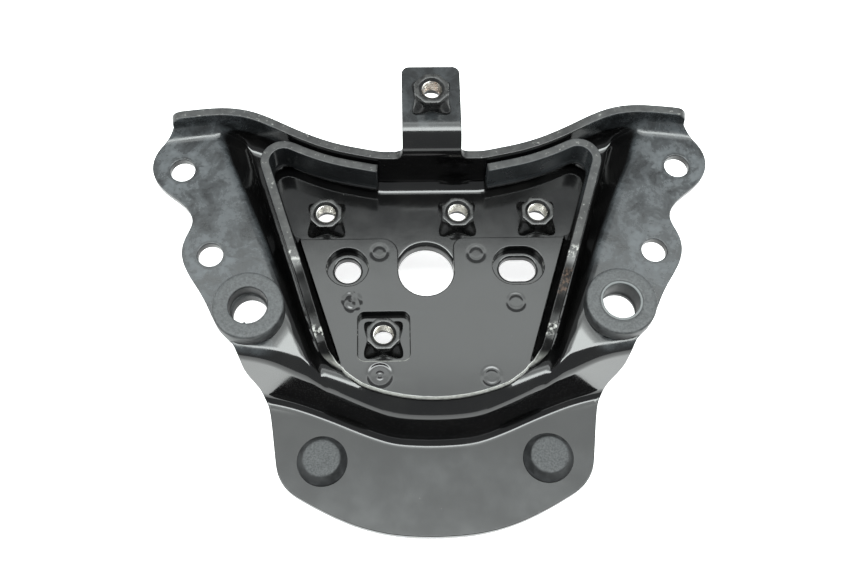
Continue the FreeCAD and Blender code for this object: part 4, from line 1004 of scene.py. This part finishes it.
# ------------------------------------------------------------------ materials
class Mat:
    def __init__(self, name):
        self.m = bpy.data.materials.new(name)
        self.m.use_nodes = True
        self.t = self.m.node_tree
        self.t.nodes.clear()
        self.out = self.t.nodes.new("ShaderNodeOutputMaterial")
        self.b = self.t.nodes.new("ShaderNodeBsdfPrincipled")
        self.t.links.new(self.b.outputs[0], self.out.inputs[0])
        self.co = self.t.nodes.new("ShaderNodeTexCoord").outputs["Object"]

    def put(self, sock, val):
        if isinstance(val, bpy.types.NodeSocket):
            self.t.links.new(val, sock)
        else:
            sock.default_value = val

    def math(self, op, a, b=0.0, clamp=False):
        n = self.t.nodes.new("ShaderNodeMath")
        n.operation = op
        n.use_clamp = clamp
        self.put(n.inputs[0], a)
        self.put(n.inputs[1], b)
        return n.outputs[0]

    def scale(self, v, s):
        n = self.t.nodes.new("ShaderNodeMapping")
        self.put(n.inputs["Vector"], v)
        n.inputs["Scale"].default_value = s
        return n.outputs[0]

    def turned(self, v, rot, s):
        n = self.t.nodes.new("ShaderNodeMapping")
        self.put(n.inputs["Vector"], v)
        n.inputs["Rotation"].default_value = rot
        n.inputs["Scale"].default_value = s
        return n.outputs[0]

    def noise(self, v, scale, detail=4.0, rough=0.55, dist=0.0):
        n = self.t.nodes.new("ShaderNodeTexNoise")
        self.put(n.inputs["Vector"], v)
        n.inputs["Scale"].default_value = scale
        n.inputs["Detail"].default_value = detail
        n.inputs["Roughness"].default_value = rough
        n.inputs["Distortion"].default_value = dist
        return n.outputs["Fac"]

    def voronoi(self, v, scale, feature="F1"):
        n = self.t.nodes.new("ShaderNodeTexVoronoi")
        n.feature = feature
        self.put(n.inputs["Vector"], v)
        n.inputs["Scale"].default_value = scale
        return n.outputs["Distance"]

    def step(self, v, lo, hi, a=0.0, b=1.0):
        n = self.t.nodes.new("ShaderNodeMapRange")
        n.interpolation_type = "SMOOTHSTEP"
        self.put(n.inputs["Value"], v)
        n.inputs["From Min"].default_value = lo
        n.inputs["From Max"].default_value = hi
        n.inputs["To Min"].default_value = a
        n.inputs["To Max"].default_value = b
        return n.outputs[0]

    def mix(self, fac, a, b):
        n = self.t.nodes.new("ShaderNodeMix")
        n.data_type = "RGBA"
        self.put(n.inputs[0], fac)
        self.put(n.inputs[6], a)
        self.put(n.inputs[7], b)
        return n.outputs[2]

    def attr(self, name):
        n = self.t.nodes.new("ShaderNodeAttribute")
        n.attribute_name = name
        return n.outputs["Fac"]

    def xyz(self):
        n = self.t.nodes.new("ShaderNodeSeparateXYZ")
        self.put(n.inputs[0], self.co)
        return n.outputs[0], n.outputs[1], n.outputs[2]

    def dist(self, x, y):
        """distance in plan from a place given in frame millimetres"""
        n = self.t.nodes.new("ShaderNodeVectorMath")
        n.operation = "SUBTRACT"
        self.put(n.inputs[0], self.scale(self.co, (1000, 1000, 0)))
        n.inputs[1].default_value = (x, y, 0)
        l = self.t.nodes.new("ShaderNodeVectorMath")
        l.operation = "LENGTH"
        self.put(l.inputs[0], n.outputs[0])
        return l.outputs["Value"]

    def bump(self, height, strength, distance, normal=None):
        n = self.t.nodes.new("ShaderNodeBump")
        n.inputs["Strength"].default_value = strength
        n.inputs["Distance"].default_value = distance
        self.put(n.inputs["Height"], height)
        if normal is not None:
            self.put(n.inputs["Normal"], normal)
        return n.outputs[0]

    def done(self, ob):
        ob.data.materials.clear()
        ob.data.materials.append(self.m)


def coat(name, ears):
    m = Mat(name)
    b = m.b
    x, y, z = m.xyz()
    ax = m.math("ABSOLUTE", x)
    rim = m.attr("rim")
    cloud = m.noise(m.co, 90.0, 5.0, 0.6)
    fine = m.noise(m.co, 900.0, 3.0, 0.6)
    grain = m.noise(m.co, 3500.0, 2.0, 0.5)
    black = m.mix(m.step(cloud, 0.35, 0.7), (0.0022, 0.0022, 0.0023, 1), (0.0040, 0.0039, 0.0038, 1))
    # wiped film of dust
    smear = m.noise(m.turned(m.co, (0, 0, 0.6), (60, 420, 200)), 1.0, 5.0, 0.6)
    film = m.math("MULTIPLY", m.step(smear, 0.5, 0.8), m.step(cloud, 0.45, 0.75))
    if ears:
        zone = m.math("MULTIPLY", m.step(ax, 0.0415, 0.0475), m.step(z, -0.0016, -0.0002))
        tab = m.math("MULTIPLY", m.step(z, 0.0140, 0.01465), m.step(ax, 0.0125, 0.011))
        patch = m.step(m.noise(m.co, 150.0, 7.0, 0.68, 0.5), 0.36, 0.66)
        ring = None
        for px, py in ((-71.3, 44.1), (71.3, 44.1), (-61.8, 17.15), (61.8, 17.15)):
            d = m.dist(px, py)
            r = m.math("MULTIPLY", m.step(d, 4.0, 4.8), m.step(d, 6.2, 8.0, 1.0, 0.0))
            ring = r if ring is None else m.math("MAXIMUM", ring, r)
        ring = m.math("MULTIPLY", ring, m.step(m.noise(m.co, 260.0, 4.0, 0.6), 0.38, 0.6))
        dust_and_painted_sheen = m.math("ADD", m.math("MULTIPLY", patch, 0.62), m.math("MULTIPLY", ring, 0.45))
        dust_and_painted_sheen = m.math("MULTIPLY", m.math("ADD", dust_and_painted_sheen, 0.22), m.math("MAXIMUM", zone, m.math("MULTIPLY", tab, 0.6)))
        dust_and_painted_sheen = m.math("MULTIPLY", dust_and_painted_sheen, m.step(fine, 0.25, 0.7, 0.7, 1.05), True)
        flat = m.math("MULTIPLY", m.step(z, -0.0251, -0.0254), m.step(y, -0.030, -0.036))
        dust_and_painted_sheen = m.math("MAXIMUM", dust_and_painted_sheen, m.math("MULTIPLY", flat, m.step(cloud, 0.3, 0.8, 0.0, 0.12)))
    else:
        # painted sheen: the insides of the rear walls are coloured lighter grey, more on the right, standing in for a
        # brighter reflection there; a wiped film of dust lies over the pan in patches
        rear_wall_painted_sheen = m.math("MULTIPLY", m.step(z, -0.0046, -0.0032), m.step(y, 0.028, 0.038))
        rear_wall_painted_sheen = m.math("MULTIPLY", rear_wall_painted_sheen, m.step(x, -0.02, 0.03, 0.35, 0.9))
        dust_and_painted_sheen = m.math("MAXIMUM", m.math("MULTIPLY", film, 0.2), m.math("MULTIPLY", rear_wall_painted_sheen, m.step(cloud, 0.2, 0.8, 0.4, 0.9)))
    # the ears' dust, the pan's wiped dust and the pan's painted sheen on the rear walls all take this lighter grey
    col = m.mix(dust_and_painted_sheen, black, (0.052, 0.058, 0.062, 1))
    # tiny light and dark specks
    speck = m.math("MULTIPLY", m.step(m.voronoi(m.co, 420.0), 0.045, 0.09, 1.0, 0.0), m.step(m.noise(m.co, 210.0, 2.0), 0.60, 0.66))
    col = m.mix(m.math("MULTIPLY", speck, 0.4), col, (0.10, 0.10, 0.095, 1))
    # cut edges: thin grey coat, rubbed to bare specks
    edge_on = m.step(rim, 0.6, 1.0)
    wear = m.noise(m.turned(m.co, (0, 0, 0), (900, 900, 700)), 1.0, 4.0, 0.7)
    edge = m.mix(m.step(m.noise(m.co, 320.0, 4.0, 0.65), 0.35, 0.7), (0.010, 0.010, 0.010, 1), (0.034, 0.034, 0.033, 1))
    worn = m.math("MULTIPLY", edge_on, m.step(wear, 0.60, 0.70))
    if not ears:
        # the falling part of the walls' edge keeps the black of the coat instead of the grey edge colour; the front
        # edge is coloured light grey
        level = m.step(z, 0.0035, 0.0044)
        # painted shade: along the fall the edge's reflection is turned down below, standing in for the dark reflection
        # it shows
        fall_painted_shade = m.math("MULTIPLY", edge_on, m.math("SUBTRACT", 1.0, level))
        front = m.math("MULTIPLY", m.step(y, -0.0105, -0.0135), m.step(rim, 0.15, 0.4))
        front = m.math("MULTIPLY", front, m.step(z, -0.0065, -0.0054))
        edge_on = m.math("MULTIPLY", edge_on, m.math("ADD", m.math("MULTIPLY", level, 0.9), 0.1))
        worn = m.math("MULTIPLY", worn, m.math("ADD", m.math("MULTIPLY", level, 0.9), 0.1))
    col = m.mix(m.math("MULTIPLY", edge_on, 0.85), col, edge)
    col = m.mix(m.math("MULTIPLY", worn, 0.5), col, (0.30, 0.30, 0.28, 1))
    if not ears:
        # painted highlights at both ends of the fall, coloured light grey, and a brown rubbed place on the right
        low_end = m.math("MULTIPLY", m.step(y, -0.0075, -0.0060), m.step(y, -0.0030, -0.0045))
        high_end = m.math("MULTIPLY", m.step(y, 0.0130, 0.0140), m.step(y, 0.0175, 0.0160))
        fall_end_painted_highlight = m.math("MULTIPLY", m.math("MAXIMUM", low_end, high_end), m.step(rim, 0.5, 0.9))
        fall_end_painted_highlight = m.math("MULTIPLY", fall_end_painted_highlight, m.step(m.noise(m.co, 700.0, 4.0, 0.65), 0.48, 0.62))
        col = m.mix(m.math("MULTIPLY", fall_end_painted_highlight, 0.9), col, (0.34, 0.34, 0.32, 1))
        brown = m.math("MULTIPLY", m.math("MULTIPLY", m.step(y, 0.0035, 0.0050), m.step(y, 0.0110, 0.0090)), m.step(x, 0.02, 0.022))
        brown = m.math("MULTIPLY", m.math("MULTIPLY", brown, m.step(rim, 0.5, 0.9)), m.step(wear, 0.45, 0.62))
        col = m.mix(m.math("MULTIPLY", brown, 0.7), col, (0.085, 0.055, 0.040, 1))
        col = m.mix(m.math("MULTIPLY", front, m.step(fine, 0.3, 0.6, 0.55, 0.9)), col, (0.22, 0.22, 0.205, 1))
    m.put(b.inputs["Base Color"], col)
    rough = m.math("ADD", m.step(cloud, 0.3, 0.75, 0.09, 0.15), m.math("MULTIPLY", dust_and_painted_sheen, 0.28))
    rough = m.math("ADD", rough, m.math("MULTIPLY", edge_on, 0.2))
    m.put(b.inputs["Roughness"], rough)
    if ears:
        b.inputs["Specular IOR Level"].default_value = 0.5
    else:
        # painted shade: less reflection along the fall of the walls' edge
        m.put(b.inputs["Specular IOR Level"], m.math("SUBTRACT", 0.5, m.math("MULTIPLY", fall_painted_shade, 0.42)))
    b.inputs["IOR"].default_value = 1.5
    nrm = m.bump(m.noise(m.co, 260.0, 2.0, 0.5), 0.3, 0.00002)
    nrm = m.bump(grain, 0.12, 0.000012, nrm)
    if ears:
        nrm = m.bump(m.math("MULTIPLY", dust_and_painted_sheen, fine), 0.35, 0.00005, nrm)
    m.put(b.inputs["Normal"], nrm)
    return m


coat("black_coat_gloss", True).done(sheet)
coat("pan_coat_gloss", False).done(pan)

m = Mat("nut_steel_mixed")
zone = m.attr("zone")
x, y, z = m.xyz()
n1 = m.noise(m.co, 500.0, 4.0, 0.6)
n2 = m.noise(m.co, 160.0, 3.0, 0.6)
base = m.mix(m.step(n1, 0.4, 0.7), (0.0024, 0.0024, 0.0024, 1), (0.006, 0.0058, 0.0055, 1))
ringc = m.mix(m.step(n1, 0.35, 0.7), (0.006, 0.006, 0.006, 1), (0.028, 0.028, 0.027, 1))
thread = m.mix(m.step(n1, 0.4, 0.75), (0.72, 0.71, 0.68, 1), (0.42, 0.39, 0.35, 1))
rust = m.math("MULTIPLY", m.step(y, 0.045, 0.05), m.step(n2, 0.42, 0.6))
thread = m.mix(m.math("MULTIPLY", rust, 0.75), thread, (0.20, 0.11, 0.065, 1))
c = m.mix(m.step(zone, 0.85, 1.15), base, ringc)
c = m.mix(m.step(zone, 1.5, 1.9), c, thread)
c = m.mix(m.step(zone, 2.5, 3.0), c, (0.03, 0.028, 0.025, 1))
m.put(m.b.inputs["Base Color"], c)
m.put(m.b.inputs["Metallic"], m.math("MULTIPLY", m.step(zone, 1.45, 1.75), m.step(zone, 2.4, 3.0, 1.0, 0.2)))
m.put(m.b.inputs["Roughness"], m.step(n1, 0.3, 0.75, 0.2, 0.36))
m.put(m.b.inputs["Normal"], m.bump(m.noise(m.co, 1500.0, 3.0, 0.6), 0.2, 0.00003))
m.done(nuts)


def rubber(name, dark, light, rough):
    m = Mat(name)
    zone = m.attr("zone")
    n1 = m.noise(m.co, 380.0, 5.0, 0.62)
    n2 = m.noise(m.co, 1800.0, 3.0, 0.6)
    c = m.mix(m.step(n1, 0.35, 0.7), dark, light)
    c = m.mix(m.step(zone, 0.4, 1.0, 0.0, 0.55), c, m.mix(m.step(n2, 0.3, 0.7), light, (0.085, 0.09, 0.092, 1)))
    c = m.mix(m.step(zone, 1.3, 2.0, 0.0, 0.6), c, (0.16, 0.17, 0.17, 1))
    m.put(m.b.inputs["Base Color"], c)
    m.put(m.b.inputs["Roughness"], m.step(n1, 0.3, 0.75, rough - 0.06, rough + 0.1))
    m.b.inputs["Specular IOR Level"].default_value = 0.35
    nrm = m.bump(n2, 0.35, 0.00005)
    nrm = m.bump(n1, 0.25, 0.0001, nrm)
    m.put(m.b.inputs["Normal"], nrm)
    return m


gm = rubber("grommet_rubber_matt", (0.012, 0.0125, 0.013, 1), (0.040, 0.042, 0.043, 1), 0.52)
sm = rubber("stopper_rubber_matt", (0.010, 0.0105, 0.011, 1), (0.026, 0.027, 0.028, 1), 0.62)
for ob in bpy.data.objects:
    if ob.name.endswith("grommet_rubber"):
        gm.done(ob)
    if ob.name.endswith("stopper_rubber"):
        sm.done(ob)

# ------------------------------------------------------------------ floor, light and camera
low_z = cad_box[0][2]
fm = bpy.data.meshes.new("table_top")
S = 3.0
fm.from_pydata([(-S, -S, low_z), (S, -S, low_z), (S, S, low_z), (-S, S, low_z)], [], [(0, 1, 2, 3)])
floor = bpy.data.objects.new("table_top", fm)
bpy.context.scene.collection.objects.link(floor)
m = Mat("table_white_glowing")
m.put(m.b.inputs["Base Color"], m.mix(m.step(m.noise(m.co, 40.0, 4.0), 0.3, 0.7), (0.86, 0.865, 0.86, 1), (0.89, 0.89, 0.885, 1)))
m.b.inputs["Roughness"].default_value = 0.6
m.b.inputs["Specular IOR Level"].default_value = 0.2
# painted light: the table glows a little, filling in the shade under the bracket so that the table shows white through
# its holes
m.b.inputs["Emission Color"].default_value = (1, 1, 1, 1)
m.b.inputs["Emission Strength"].default_value = 0.72
m.done(floor)


def softbox(name, x0, x1, y0, y1, z, radiance):
    d = bpy.data.lights.new(name, "AREA")
    d.shape = "RECTANGLE"
    d.size, d.size_y = x1 - x0, y1 - y0
    d.energy = radiance * math.pi * d.size * d.size_y
    d.color = (0.952, 1.0, 0.986)
    o = bpy.data.objects.new(name, d)
    o.location = ((x0 + x1) / 2, (y0 + y1) / 2, z)
    bpy.context.scene.collection.objects.link(o)
    return o


# one overhead light, brightest straight above and fading towards the rear, then a dim ceiling
for k, (y0, y1, level) in enumerate(((-0.22, 0.05, 15.0), (0.05, 0.13, 6.6), (0.13, 0.22, 3.4), (0.22, 0.36, 3.0),
                                     (0.36, 0.56, 4.3), (0.56, 2.2, 0.35))):
    softbox("overhead_%d" % k, -1.25, 1.25, y0, y1, 1.1, level)

world = bpy.data.worlds.new("room")
world.use_nodes = True
world.node_tree.nodes["Background"].inputs[0].default_value = (0.5, 0.52, 0.535, 1)
world.node_tree.nodes["Background"].inputs[1].default_value = 1.0
bpy.context.scene.world = world

cam_d = bpy.data.cameras.new("camera")
cam_d.sensor_width = 36.0
cam_d.sensor_fit = "HORIZONTAL"
cam_d.lens = 1050.0 * 36.0 / 845.0
cam_d.clip_start, cam_d.clip_end = 0.01, 50.0
cam = bpy.data.objects.new("camera", cam_d)
bpy.context.scene.collection.objects.link(cam)
el, az, roll = math.radians(66.0), math.radians(3.47), math.radians(-2.502)
d = Vector((math.sin(az) * math.cos(el), math.cos(az) * math.cos(el), -math.sin(el)))
right = Vector((math.cos(az), -math.sin(az), 0))
up = right.cross(d)
R = math.cos(roll) * right - math.sin(roll) * up
U = math.sin(roll) * right + math.cos(roll) * up
rot = Matrix((R, U, -d)).transposed().to_4x4()
cam.matrix_world = Matrix.Translation((-0.010319, -0.1089, 0.263365)) @ rot
bpy.context.scene.camera = cam
bpy.context.scene.view_settings.view_transform = "Standard"
